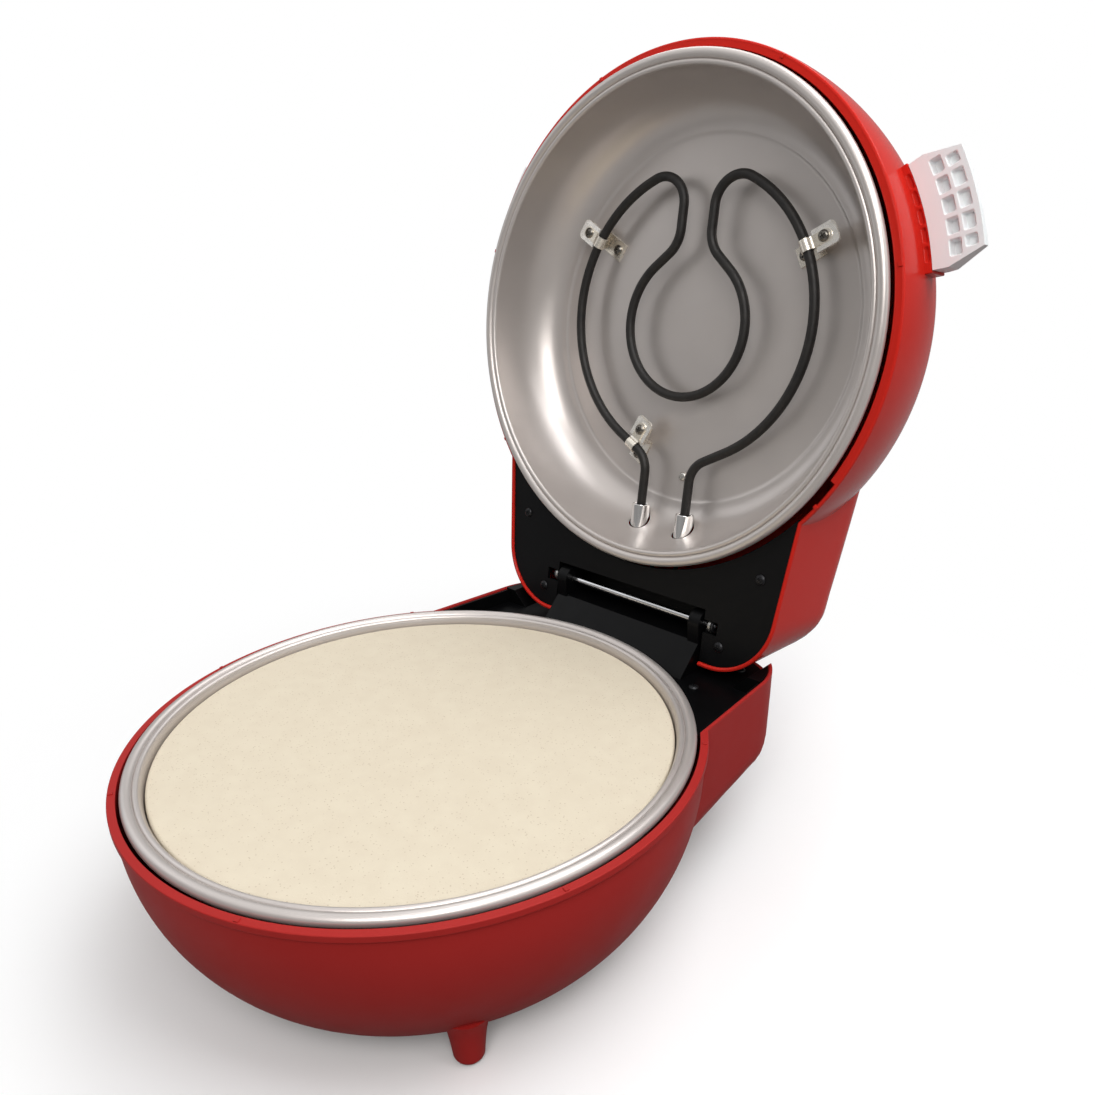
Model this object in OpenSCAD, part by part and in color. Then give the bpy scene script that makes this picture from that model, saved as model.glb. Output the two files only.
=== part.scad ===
// Countertop electric cooker with a hinged domed lid.
// Two facing round dishes, each with its own heating rod: the lower one carries a baking stone,
// the upper one hangs in the lid. The lid stands open, and the model rests on its feet at z = 0.
// Base pieces are drawn with z = 0 at the ring plane, where the two dishes meet, and the lid's
// pieces are drawn shut, on top of it. The two place modules below put them where they belong.

/* [Dishes] */
// Outer radius of the rolled ring round each dish
ring_r = 165; // [155:1:185]
// Radius of the thick outer bead of the ring
bead_r = 3.5; // [2.5:0.5:5]
// Sheet thickness of the dishes
dish_t = 1; // [0.6:0.1:1.6]
// Depth of each dish's floor below its ring
dish_depth = 50; // [42:1:60]
// Radius of the flat floor of each dish
floor_r = 126; // [115:1:132]
// Gap between the two rings when the lid is shut
ring_gap = 1.2; // [0.6:0.1:4]

/* [Baking stone] */
// Radius of the stone
stone_r = 152.4; // [140:0.1:153]
// Thickness of the stone
stone_t = 12; // [8:1:14]
// Depth of the stone's top below the ring
stone_drop = 6; // [3:1:10]

/* [Heating rods] */
// Diameter of the sheathed rod
rod_d = 6.5; // [5:0.1:9]
// Distance from the dish floor to the rod's centre
rod_lift = 12; // [9:1:16]
// Radius of the inner loop
loop_r = 49; // [40:1:56]
// Radius of the bend at each neck
neck_r = 22; // [16:1:26]
// Radius of the tight turn at the front of each side
turn_r = 19; // [14:1:22]
// Radius of the outer sweep
sweep_r = 98.5; // [90:0.5:104]
// Radius of the bend before each straight end
lead_r = 18; // [12:1:26]
// Diameter of the end sleeves
sleeve_d = 13; // [11:0.5:16]

/* [Base] */
// Height of the ring plane above the surface
ring_h = 120; // [105:1:150]
// Wall thickness of the red shells
wall = 2.6; // [2:0.1:4]
// Largest radius of the bowl
bowl_r = 169.5; // [168:0.5:192]
// Radius of the bowl's side curve
bowl_curve_r = 127.5; // [110:0.5:150]
// Depth of the bowl's flat bottom below the ring plane
bowl_depth = 107; // [98:1:116]
// Depth of the shells' rim below the ring plane
base_rim = 3.5; // [2:0.5:8]
// Depth of the black deck below the ring plane
deck_depth = 15; // [14:0.5:20]
// Depth of the rear block below the rim
base_block_h = 68; // [60:1:90]

/* [Lid] */
// Height of the lid's rim above the ring plane
lid_rim = 8.5; // [6:0.5:12]
// Largest radius of the dome
dome_r = 171.5; // [170:0.5:195]
// Height of the dome's top above the ring plane
dome_h = 120; // [105:1:140]
// Radius of the dome's side curve
dome_side_r = 200; // [150:5:260]
// Radius of the dome's shoulder
dome_shoulder_r = 50; // [30:1:70]
// Radius of the dome's crown
dome_crown_r = 410; // [300:10:800]
// Angle that the lid stands open
open_angle = 100.9; // [90:0.1:101]

/* [Rear block and hinge] */
// Rear end of the block, behind the ring's centre
block_y = 222; // [214:1:235]
// Plan radius of the block's rear corners
corner_r = 47; // [30:1:60]
// Sideways place of the corners' centres
corner_x = 75; // [60:1:90]
// Taper of the block's sides, in degrees
side_taper = 6.2; // [2:0.1:10]
// Place of the hinge axis behind the ring's centre
hinge_y = 194.1; // [190:0.1:198]
// Height of the hinge axis above the ring plane
hinge_z = 16; // [14:0.5:20]
// Diameter of the hinge rod
hinge_rod_d = 5; // [4:0.5:6]
// Half width of the riser that carries the hinge rod
riser_x = 66; // [50:1:68]
// Thickness of the riser's two arms
arm_t = 9; // [6:1:12]
// Running clearance on the hinge rod's radius
hinge_fit = 0.06; // [0.02:0.01:0.1]

/* [Handles] */
// Angle of each handle round the dome, from the front
handle_angle = 66.5; // [50:0.5:80]
// Reach of the handles from the ring's centre
handle_reach = 203; // [201:1:210]
// Width of each handle along the dome
handle_w = 63; // [58:1:80]
// Height of the handles' lower face above the ring plane
handle_z = 38.5; // [34:0.5:44]

/* [Hidden] */
$fn = 96;

// Colours
red = "firebrick";
black = "#1c1c1e";
steel = "silver";

// Small overlap for clean cuts, and the gap between pieces that are assembled
cut = 1;
fit = 0.3;

// Dish bead and wall
inner_bead_r = 1.9;
wall_r = ring_r - 2 * bead_r - 2 * inner_bead_r + 0.3;
wall_top = bead_r - 0.5;
floor_step = 1;
seat_r = stone_r + 0.9;
seat_depth = stone_drop + stone_t;
seat_ledge = 6;
rod_depth = dish_depth - rod_lift;
rod_r = rod_d / 2;

// Heating rod's path, half of it: [radius, turn] is a bend, [0, length] a straight.
// A positive radius bends left. It starts at the rear of the inner loop, heading right.
loop_y = 2;
rod_start = [0, loop_y + loop_r, 0];
lead_x = 20;
loop_turn = 140;
neck_turn = 50;
neck_run = 14;
front_run = 15;
// The turn joins the sweep where the two circles touch
turn_start = walk(rod_start, [[-loop_r, loop_turn], [0, neck_run], [neck_r, neck_turn], [0, front_run]]);
turn_centre = [turn_start[0] + turn_r * cos(turn_start[2] + 90),
    turn_start[1] + turn_r * sin(turn_start[2] + 90)];
sweep_centre_y = turn_centre[1] + sqrt(pow(sweep_r - turn_r, 2) - pow(turn_centre[0], 2));
meet_angle = atan2(turn_centre[1] - sweep_centre_y, turn_centre[0]);
sweep_end = 62;
lead_run = (sweep_r * cos(sweep_end) - lead_x - lead_r * (1 - cos(sweep_end))) / sin(sweep_end);
lead_end = 150;
rod_path = [[-loop_r, loop_turn], [0, neck_run], [neck_r, neck_turn], [0, front_run],
    [turn_r, meet_angle + 180], [sweep_r, sweep_end - meet_angle], [0, lead_run],
    [-lead_r, sweep_end]];
lead_start = walk(rod_start, rod_path);
sleeve_y = 131;
sleeve_l = 24;
pin_l = 12;
pin_r = 1.6;

// Clips: place on the rod and outward direction of the right, left and rear one
function on_sweep(a, along = 0) = [sweep_r * cos(a) + along * sin(a), sweep_centre_y
    + sweep_r * sin(a) - along * cos(a), a];
clips = [on_sweep(-29), on_sweep(209), on_sweep(180 - sweep_end, 0.7 * lead_run)];
strap_w = 9;
strap_t = 0.8;
plate_t = 1.2;
foot_w = 14;
foot_l = 15;
foot_screw = -9;
ear_l = 17;
shelf_w = 18;
shelf_l = 26;
screw_r = 2;
fuse_r = 2.5;
fuse_lift = 2.8;
head_r = 3.4;
head_h = 2;

// Base shell
lip_in = ring_r + 2;
lid_lip_in = ring_r + 0.8;
lip_out = bowl_r + 2;
lip_h = 4;
bowl_cz = -12;
bowl_cr = bowl_r - bowl_curve_r;
foot_angle = 60;
foot_place = 133.6;
rear_foot = [64, 178];
foot_tip_r = 8;
foot_top_r = 13;
pad_r = 5.5;
pad_proud = 1;
pad_h = 4;
post_r = 7;
post_places = [for (a = [30, 150, 270]) [75 * cos(a), 75 * sin(a)]];
// Three-pin power inlet in the rear wall
inlet_z = -30.5;
inlet_w = 50;
inlet_h = 22;
inlet_body = [28, 20, 19];
inlet_recess = [24, 16, 16];
inlet_pins = [[0, 2], [7, -2], [-7, -2]];

// Rear blocks, measured outwards from their rims
lid_rear_r = 38;
lid_rear_c = 39.5;
lid_rear_draft = 8.5;
lid_top_slope = 2.6;
lid_edge_r = 15;
base_rear_r = 45;
base_rear_draft = 3;
base_slope = 6;
base_edge_r = 18;
side_draft = 3;
lid_rear_cy = rear_centre(lid_rear_r, lid_rear_c, lid_rear_draft);
base_rear_c = base_block_h - base_rear_r;
base_rear_cy = rear_centre(base_rear_r, base_rear_c, base_rear_draft);
inlet_y = base_rear_cy + base_rear_r + 0.9;
block_front = 60;

// Height of the open lid's rear wall over the ridge that it comes down on
turn_cos = cos(open_angle);
turn_sin = sin(open_angle);
ridge_w = 6;
ridge_x = 84;
ridge_y = block_y - wall - fit;
wall_start_y = hinge_y + (block_y - hinge_y) * turn_cos + (lid_rim - hinge_z) * turn_sin;
wall_start_z = hinge_z - (block_y - hinge_y) * turn_sin + (lid_rim - hinge_z) * turn_cos;
wall_slope = 1 / tan(open_angle - lid_rear_draft);
stop_z = wall_start_z - fit + min((ridge_y - wall_start_y) * wall_slope,
    (ridge_y - ridge_w - wall_start_y) * wall_slope);
// Dip in the rear wall, where the open lid passes
dip_x = 98;
dip_z = deck_depth - base_rim;
upstand_t = 1.8;
upstand_drop = 0.5;

// Deck and riser
deck_t = 2.5;
deck_gap = 2.5;
riser_front = 166;
riser_top = 5;
riser_back = 206;
arm_r = 9;
ramp_top_y = hinge_y - arm_r + 1;
deck_screw = [79, 164];
rear_screw = [88, 203];
riser_screw = [40, 192];

// Lid panel and its pocket round the hinge
panel_z = lid_rim + 1.5;
panel_t = 2.5;
pocket_x = riser_x + 2;
pocket_y = 183;
pocket_top = 36;
pocket_wall = 2;
ear_t = 2;
ear_x = pocket_x + pocket_wall + fit;
ear_screw_y = [hinge_y - 18, hinge_y];
ear_screw_z = 28.5;
nut_t = 1.5;
nut_r = 4.6;
slot_y = 4.4;
hinge_rod_l = 2 * (ear_x + ear_t + fit + nut_t + 1);
panel_screws_at = [[106, 153], [82, 205]];

// Dome outline
side_c = [dome_r - dome_side_r, lid_rim];
crown_c = [0, dome_h - dome_crown_r];
shoulder_c = meet(side_c, dome_side_r - dome_shoulder_r, crown_c, dome_crown_r - dome_shoulder_r);
side_end = atan2(shoulder_c[1] - side_c[1], shoulder_c[0] - side_c[0]);
crown_end = atan2(shoulder_c[1] - crown_c[1], shoulder_c[0] - crown_c[0]);

// Handles: parts of a ring round the dome, thick at the root and thin at the tip
handle_root = 176.5;
handle_half = asin(handle_w / 2 / handle_root);
corner_cut = 2.2;
corner_run = 9;
root_t = 16;
tip_t = 4;
tip_slope = atan((root_t - tip_t) / (handle_reach - handle_root));
handle_seat = 166.4;
handle_screw_z = handle_z + 8.5;
// Three rows of five pockets, the first of them in the red bed: radius, size, depth
pocket_r = [172.6, 187.4, 196.4];
pocket_out = [4.4, 7, 7];
pocket_along = [9, 9.4, 9.8];
pocket_deep = [4, 6, 4];
pocket_turn = 3.6;

// The whole model's middle from front to back, with the lid open
front_y = -lip_out;
back_y = hinge_y + (crown_c[0] - hinge_y) * turn_cos + (crown_c[1] - hinge_z) * turn_sin + dome_crown_r;
mid_y = (front_y + back_y) / 2;

// Place and heading, [x, y, heading], at the end of a list of bends and straights
function walk(from, steps, i = 0) = i == len(steps) ? from : walk(step_from(from, steps[i]), steps, i + 1);
function step_from(p, s) = s[0] == 0
    ? [p[0] + s[1] * cos(p[2]), p[1] + s[1] * sin(p[2]), p[2]]
    : let (side = s[0] > 0 ? 90 : -90, r = abs(s[0]), c = [p[0] + r * cos(p[2] + side),
        p[1] + r * sin(p[2] + side)], h = p[2] + (s[0] > 0 ? s[1] : -s[1]))
        [c[0] + r * cos(h - side), c[1] + r * sin(h - side), h];
// Point where circle a (centre, radius) crosses circle b, on the outer side
function meet(ca, ra, cb, rb) = let (d = norm(cb - ca), t = (ra * ra - rb * rb + d * d) / (2 * d),
    h = sqrt(ra * ra - t * t), e = (cb - ca) / d, p = ca + e * t, n = [-e[1], e[0]])
    (p + n * h)[0] > (p - n * h)[0] ? p + n * h : p - n * h;
// Centre of a block's rear curve, so that its drafted rear wall starts at block_y
function rear_centre(r, c, draft) = block_y - r * cos(draft) - (c + r * sin(draft)) * tan(draft);
function arc(c, r, from, to, n) = [for (i = [0:n]) let (a = from + (to - from) * i / n)
    [c[0] + r * cos(a), c[1] + r * sin(a)]];
function polar(r, a) = [r * cos(a), r * sin(a)];
function unit(v) = v / norm(v);
// Smooth line through a few points picked by hand
function smooth(p, n) = concat([for (i = [0:len(p) - 2], j = [0:n - 1]) let (t = j / n,
    a = p[max(i - 1, 0)], b = p[i], c = p[i + 1], d = p[min(i + 2, len(p) - 1)])
    (2 * b + (c - a) * t + (2 * a - 5 * b + 4 * c - d) * t * t
        + (3 * b - a - 3 * c + d) * t * t * t) / 2], [p[len(p) - 1]]);

// Base pieces: from the ring plane to the floor frame
module base_place() translate([0, -mid_y, ring_h]) children();
// Lid pieces: swung open about the hinge
module lid_place() base_place() translate([0, hinge_y, hinge_z]) rotate([-open_angle, 0, 0])
    translate([0, -hinge_y, -hinge_z]) children();
module both_sides() { children(); mirror([1, 0, 0]) children(); }
// Dish pieces are drawn going up from their ring; the lower dish hangs upside down
module upper_dish_place() lid_place() translate([0, 0, ring_gap]) children();
module lower_dish_place() base_place() mirror([0, 0, 1]) children();

// A thin round wire through hand-picked points
module wire(points, r = 1.3, ref = [0.2, 0.1, 1]) {
    line = smooth(points, 4);
    last = len(line) - 1;
    sides = 8;
    tube = [for (i = [0:last]) let (t = unit(line[min(i + 1, last)] - line[max(i - 1, 0)]),
        u = unit(cross(t, ref)), v = cross(u, t))
        for (j = [0:sides - 1]) line[i] + r * (u * cos(360 * j / sides) + v * sin(360 * j / sides))];
    quads = [for (i = [0:last - 1], j = [0:sides - 1]) let (a = i * sides + j,
        b = i * sides + (j + 1) % sides) [a, b, b + sides, a + sides]];
    polyhedron(tube, concat([[for (j = [sides - 1:-1:0]) j]], quads,
        [[for (j = [0:sides - 1]) last * sides + j]]));
}

// Plan of the rear block, drawn in by an inset
module block_plan(inset) {
    r = corner_r - inset;
    cy = block_y - corner_r;
    side_dir = [cos(side_taper), sin(side_taper)];
    reach = (cy + r * side_dir[1] - block_front) / cos(side_taper);
    touch = [corner_x, cy] + r * side_dir;
    front = touch + reach * [sin(side_taper), -cos(side_taper)];
    both_sides() {
        polygon([[0, block_front], front, touch, [corner_x, cy], [corner_x, cy + r], [0, cy + r]]);
        translate([corner_x, cy]) circle(r);
    }
}

// A block going up from its rim: plan, side view and drafted, rounded sides all meet
module block_form(inset, rear_r, rear_c, draft, slope, edge_r, top) {
    r = rear_r - inset;
    c = [rear_centre(rear_r, rear_c, draft), rear_c];
    down = 20;
    low = [c[0] + r * cos(draft) + (c[1] + r * sin(draft) + down) * tan(draft), -down];
    high = c[1] + (r - (block_front - c[0]) * sin(slope)) / cos(slope);
    intersection() {
        translate([0, 0, -down]) linear_extrude(top + down + 20) block_plan(inset);
        rotate([90, 0, 90]) linear_extrude(400, center = true)
            polygon(concat([[block_front, -down], low], arc(c, r, draft, 90 - slope, 12),
                [[block_front, high]]));
        both_sides_meet() side_prism(inset, edge_r, top, down);
    }
}
// Keeps what lies inside both a shape and its mirror image
module both_sides_meet() intersection() { children(); mirror([1, 0, 0]) children(); }
// Everything inward of one drafted side wall, rounded into the top
module side_prism(inset, edge_r, top, down) {
    cy = block_y - corner_r;
    r = edge_r - inset;
    s = -edge_r - (top - edge_r) * tan(side_draft);
    translate([corner_x, cy, 0]) rotate([0, 0, side_taper])
        translate([corner_r, 0, 0]) rotate([90, 0, 0]) linear_extrude(400, center = true)
            polygon(concat([[-600, -down], [-inset + down * tan(side_draft), -down]],
                arc([s, top - edge_r], r, -side_draft, 90, 8), [[-600, top - inset]]));
}
module lid_block(inset) translate([0, 0, lid_rim]) block_form(inset, lid_rear_r, lid_rear_c,
    lid_rear_draft, lid_top_slope, lid_edge_r, lid_rear_c + lid_rear_r + 4);
module base_block(inset) translate([0, 0, -base_rim]) mirror([0, 0, 1]) block_form(inset,
    base_rear_r, base_rear_c, base_rear_draft, base_slope, base_edge_r, base_block_h + 10);

// Bowl of the base, as a solid, drawn in by an inset and reaching up to a height
module bowl_form(inset, top) {
    r = bowl_curve_r - inset;
    bottom = -bowl_depth + inset;
    low = asin((bottom - bowl_cz) / r);
    rotate_extrude($fn = 144) polygon(concat([[0, top], [0, bottom]],
        arc([bowl_cr, bowl_cz], r, low, 0, 14), [[bowl_r - inset, top]]));
}
module foot(tip_z, top_z) {
    round_r = 4;
    tip = foot_tip_r - round_r;
    rotate_extrude($fn = 48) polygon(concat([[0, top_z], [0, tip_z]],
        arc([tip, tip_z + round_r], round_r, -90, 0, 5), [[foot_top_r, top_z]]));
}
module foot_places(front, rear) {
    both_sides() {
        rotate([0, 0, foot_angle]) translate([0, -foot_place, 0]) children(0);
        translate([rear_foot[0], rear_foot[1], 0]) children(1);
    }
}
module base_outer() {
    bowl_form(0, -base_rim);
    base_block(0);
    translate([0, 0, -base_rim - lip_h]) cylinder(h = lip_h, r = lip_out, $fn = 144);
    foot_places() {
        foot(-ring_h + pad_proud, -88);
        foot(-ring_h + pad_proud, -66);
    }
}
module base_inner() {
    bowl_form(wall, 10);
    base_block(wall);
}
module base_shell() color(red) base_place() {
    difference() {
        intersection() {
            base_outer();
            translate([0, 0, -ring_h - base_rim]) cylinder(h = ring_h, r = 300);
        }
        base_inner();
        foot_places() {
            translate([0, 0, -ring_h]) cylinder(h = pad_h, r = pad_r);
            translate([0, 0, -ring_h]) cylinder(h = pad_h, r = pad_r);
        }
        translate([0, inlet_y - 20, inlet_z]) inlet_hole(fit);
        // Dip in the rear wall's top, under the open lid
        translate([0, block_y, 0]) rotate([90, 0, 0]) linear_extrude(40, center = true)
            polygon([[-dip_x, -deck_depth], [dip_x, -deck_depth], [dip_x + dip_z + cut, cut - base_rim],
                [-dip_x - dip_z - cut, cut - base_rim]]);
    }
    // Flat seat of the inlet
    translate([0, inlet_y - fit - 6, inlet_z]) difference() {
        translate([-inlet_w / 2 - 1, 0, -inlet_h / 2 - 1]) cube([inlet_w + 2, 6, inlet_h + 2]);
        inlet_hole(fit);
    }
    // Posts that carry the dish
    for (p = post_places) translate([p[0], p[1], -bowl_depth + wall - cut]) difference() {
        cylinder(h = bowl_depth - wall + cut - dish_depth - floor_step - dish_t, r = post_r);
        translate([0, 0, 20]) cylinder(h = 100, r = screw_r - 0.2);
    }
    // Posts that carry the deck
    intersection() {
        both_sides() for (p = [deck_screw, rear_screw]) translate([p[0], p[1], -90]) difference() {
            cylinder(h = 90 - deck_depth - deck_t, r = 5);
            translate([0, 0, 50]) cylinder(h = 100, r = 1.3);
        }
        base_block(wall / 2);
    }
}

module base_deck() color(black) base_place() {
    top = -deck_depth;
    difference() {
        intersection() {
            union() {
                translate([-200, 80, top - deck_t]) cube([400, 200, deck_t]);
                // Thin upstand that lines both side walls
                difference() {
                    translate([-200, 80, top - cut]) cube([400, 101, deck_depth - base_rim - upstand_drop]);
                    base_block(wall + fit + upstand_t);
                }
                // Low ridge that the open lid's back comes down on
                translate([-ridge_x, ridge_y - ridge_w, top - cut])
                    cube([2 * ridge_x, ridge_w + 5, stop_z - top + cut]);
                // Sloping flanks at the two rear corners
                both_sides() translate([0, 180, 0]) rotate([-90, 0, 0]) linear_extrude(60)
                    polygon([[dip_x, deck_depth + cut], [dip_x, deck_depth], [dip_x + dip_z, base_rim],
                        [140, base_rim], [140, deck_depth + cut]]);
            }
            base_block(wall + fit);
        }
        translate([0, 0, -60]) cylinder(h = 100, r = ring_r + deck_gap, $fn = 144);
        both_sides() for (p = [deck_screw, rear_screw])
            translate([p[0], p[1], top - 20]) cylinder(h = 21, r = 1.7);
        both_sides() translate([riser_screw[0], riser_screw[1], top - 20]) cylinder(h = 21, r = 2.1);
    }
}
// Pan-head screw pointing down from its seat at the origin
module pan_screw(r, length, head, height) {
    translate([0, 0, -length]) cylinder(h = length, r = r, $fn = 32);
    difference() {
        cylinder(h = height, r1 = head, r2 = head * 0.75, $fn = 32);
        for (a = [0, 90]) rotate([0, 0, a]) translate([-head * 0.5, -0.35, height - 0.8])
            cube([head, 0.7, 2]);
    }
}
module deck_screws() color(black) base_place() both_sides() for (p = [deck_screw, rear_screw])
    translate([p[0], p[1], -deck_depth]) pan_screw(1.3, 14, 3.2, 1.8);
module foot_pads() color("dimgray") base_place() foot_places() {
    translate([0, 0, -ring_h]) cylinder(h = pad_h, r = pad_r);
    translate([0, 0, -ring_h]) cylinder(h = pad_h, r = pad_r);
}

// Rolled ring: a thick bead and a thin one inside it
module ring_beads() {
    rotate_extrude($fn = 144) translate([ring_r - bead_r, bead_r]) circle(bead_r, $fn = 40);
    rotate_extrude($fn = 144) translate([ring_r - 2 * bead_r - inner_bead_r + 0.4, wall_top])
        circle(inner_bead_r, $fn = 32);
}
function reversed(list) = [for (i = [len(list) - 1:-1:0]) list[i]];
// One side of the dish's sheet, from a first corner down the curved wall and over the floor
function dish_line(from_r, from_z, off) = concat([for (i = [0:12]) let (a = 90 * i / 12)
    [floor_r + (from_r - floor_r + off) * cos(a), from_z + (dish_depth - from_z + off) * sin(a)]],
    [[floor_r - 1 + off / 2, dish_depth + off], [floor_r - 2 + off / 2, dish_depth + floor_step + off],
    [0, dish_depth + floor_step + off]]);
module sleeve_holes() both_sides() translate([lead_x, sleeve_y + 3, rod_depth]) rotate([-90, 0, 0])
    cylinder(h = 40, r = sleeve_d / 2 + 1);

module upper_dish() color(steel) upper_dish_place() difference() {
    union() {
        ring_beads();
        rotate_extrude($fn = 144) polygon(concat(dish_line(wall_r, wall_top, 0),
            reversed(dish_line(wall_r, wall_top, dish_t))));
    }
    sleeve_holes();
    clip_places() cylinder(h = 80, r = screw_r);
    translate([5, 107, 0]) cylinder(h = 80, r = 1.5);
}
module lower_dish() color(steel) lower_dish_place() difference() {
    ledge_in = seat_r - seat_ledge;
    union() {
        ring_beads();
        // Wall down to the stone's seat, the ledge, and the curved wall below it
        rotate_extrude($fn = 144) polygon(concat([[wall_r, wall_top], [seat_r, stone_drop],
            [seat_r, seat_depth]], dish_line(ledge_in, seat_depth, 0),
            reversed(dish_line(ledge_in, seat_depth + dish_t, dish_t)), [[seat_r + dish_t, seat_depth
            + dish_t], [seat_r + dish_t, stone_drop], [wall_r + dish_t, wall_top]]));
    }
    sleeve_holes();
    clip_places() cylinder(h = 80, r = screw_r);
    for (p = post_places) translate([p[0], p[1], 0]) cylinder(h = 80, r = screw_r + 0.2);
}
module dish_screws() color(steel) base_place() for (p = post_places)
    translate([p[0], p[1], -dish_depth - floor_step]) pan_screw(screw_r - 0.2, 12, head_r, head_h);
module baking_stone() color("antiquewhite") base_place() {
    ease = 1.5;
    translate([0, 0, -stone_drop - stone_t]) rotate_extrude($fn = 144)
        polygon([[0, 0], [stone_r - ease, 0], [stone_r, ease], [stone_r, stone_t - ease],
            [stone_r - ease, stone_t], [0, stone_t]]);
}

// Sheathed rod: bends and straights, end to end. Every other one is a hair thicker and runs a
// little way into its neighbours, so that they join cleanly.
module rod_bend(p, s, thick) {
    side = s[0] > 0 ? 90 : -90;
    r = abs(s[0]);
    c = [p[0] + r * cos(p[2] + side), p[1] + r * sin(p[2] + side)];
    more = thick ? 0.2 / r * 57 : 0;
    from = s[0] > 0 ? p[2] - 90 - more : p[2] + 90 - s[1] - more;
    translate([c[0], c[1], 0]) rotate([0, 0, from]) rotate_extrude(angle = s[1] + 2 * more, $fn = 144)
        translate([r, 0]) circle(thick ? rod_r : rod_r - 0.01, $fn = 32);
}
module rod_straight(p, length, thick) translate([p[0], p[1], 0]) rotate([0, 0, p[2]])
    translate([thick ? -0.2 : 0, 0, 0]) rotate([0, 90, 0])
        cylinder(h = thick ? length + 0.4 : length, r = thick ? rod_r : rod_r - 0.01, $fn = 32);
module heating_rod() translate([0, 0, rod_depth]) {
    // Inner loop, in one piece across the middle
    translate([0, loop_y, 0]) rotate([0, 0, 90 - loop_turn]) rotate_extrude(angle = 2 * loop_turn, $fn = 144)
        translate([loop_r, 0]) circle(rod_r - 0.01, $fn = 32);
    both_sides() {
        for (i = [1:len(rod_path) - 1]) let (p = walk(rod_start, [for (j = [0:i - 1]) rod_path[j]]))
            if (rod_path[i][0] == 0) rod_straight(p, rod_path[i][1], i % 2 == 1);
            else rod_bend(p, rod_path[i], i % 2 == 1);
        // Straight end with its terminal pin
        translate([lead_x, lead_start[1], 0]) rotate([-90, 0, 0]) rotate_extrude($fn = 32)
            polygon([[0, 0], [rod_r - 0.01, 0], [rod_r - 0.01, lead_end - lead_start[1]],
                [pin_r, lead_end - lead_start[1]], [pin_r, lead_end + pin_l - lead_start[1]],
                [0, lead_end + pin_l - lead_start[1]]]);
    }
}
module rod_sleeves() both_sides() translate([lead_x, sleeve_y, rod_depth]) rotate([-90, 0, 0])
    difference() {
        cylinder(h = sleeve_l, r = sleeve_d / 2, $fn = 48);
        translate([0, 0, 1]) cylinder(h = sleeve_l, r = sleeve_d / 2 - 0.8, $fn = 48);
        translate([0, 0, -cut]) cylinder(h = 4, r = rod_r, $fn = 32);
    }
module upper_heating_rod() color("#242424") upper_dish_place() heating_rod();
module lower_heating_rod() color("#242424") lower_dish_place() heating_rod();
module upper_rod_sleeves() color("gainsboro") upper_dish_place() rod_sleeves();
module lower_rod_sleeves() color("gainsboro") lower_dish_place() rod_sleeves();

// Clip frame: x points away from the sweep's centre, y along the rod
module clip_frame() for (c = clips) translate([c[0], c[1], 0]) rotate([0, 0, c[2]]) children();
module clip_places() clip_frame() translate([foot_screw, 0, 0]) children();
module clip_brackets() clip_frame() {
    bottom = dish_depth + floor_step;
    difference() {
        union() {
            translate([-foot_l, -foot_w / 2, bottom - plate_t]) cube([foot_l + 6, foot_w, plate_t]);
            translate([6 - plate_t, -foot_w / 2, rod_depth]) cube([plate_t, foot_w, bottom - rod_depth]);
            translate([6 - plate_t, -shelf_w / 2, rod_depth]) cube([shelf_l - 6, shelf_w, plate_t]);
        }
        translate([foot_screw, 0, 0]) cylinder(h = 80, r = screw_r);
        translate([ear_l - 4, 0, 0]) cylinder(h = 80, r = screw_r - 0.3);
    }
}
module clip_straps() clip_frame() difference() {
    union() {
        translate([0, 0, rod_depth]) rotate([90, 0, 0]) cylinder(h = strap_w, r = rod_r + strap_t,
            center = true, $fn = 40);
        translate([rod_r, -strap_w / 2, rod_depth - strap_t]) cube([ear_l - rod_r, strap_w, strap_t]);
    }
    translate([0, 0, rod_depth]) rotate([90, 0, 0]) cylinder(h = strap_w + 2, r = rod_r + 0.15,
        center = true, $fn = 32);
    translate([ear_l - 4, 0, 0]) cylinder(h = 80, r = screw_r - 0.3);
    // The strap stops short of the bracket's riser
    translate([rod_r - 0.6, -strap_w, rod_depth]) cube([3, 2 * strap_w, 6]);
}
module clip_screws() clip_frame() {
    translate([ear_l - 4, 0, rod_depth - strap_t]) mirror([0, 0, 1])
        pan_screw(screw_r - 0.3, 6, head_r, head_h);
    translate([foot_screw, 0, dish_depth + floor_step - plate_t]) mirror([0, 0, 1])
        pan_screw(screw_r, 8, head_r, head_h);
}
module upper_clip_brackets() color("lightgray") upper_dish_place() clip_brackets();
module lower_clip_brackets() color("lightgray") lower_dish_place() clip_brackets();
module upper_clip_straps() color("whitesmoke") upper_dish_place() clip_straps();
module lower_clip_straps() color("whitesmoke") lower_dish_place() clip_straps();
module upper_clip_screws() color("gray") upper_dish_place() clip_screws();
module lower_clip_screws() color("gray") lower_dish_place() clip_screws();
module upper_dish_rivet() color("gray") upper_dish_place()
    translate([5, 107, dish_depth + floor_step]) mirror([0, 0, 1]) {
        translate([0, 0, -4]) cylinder(h = 4, r = 1.5, $fn = 24);
        cylinder(h = 2.4, r1 = 3.2, r2 = 2, $fn = 24);
    }

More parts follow.
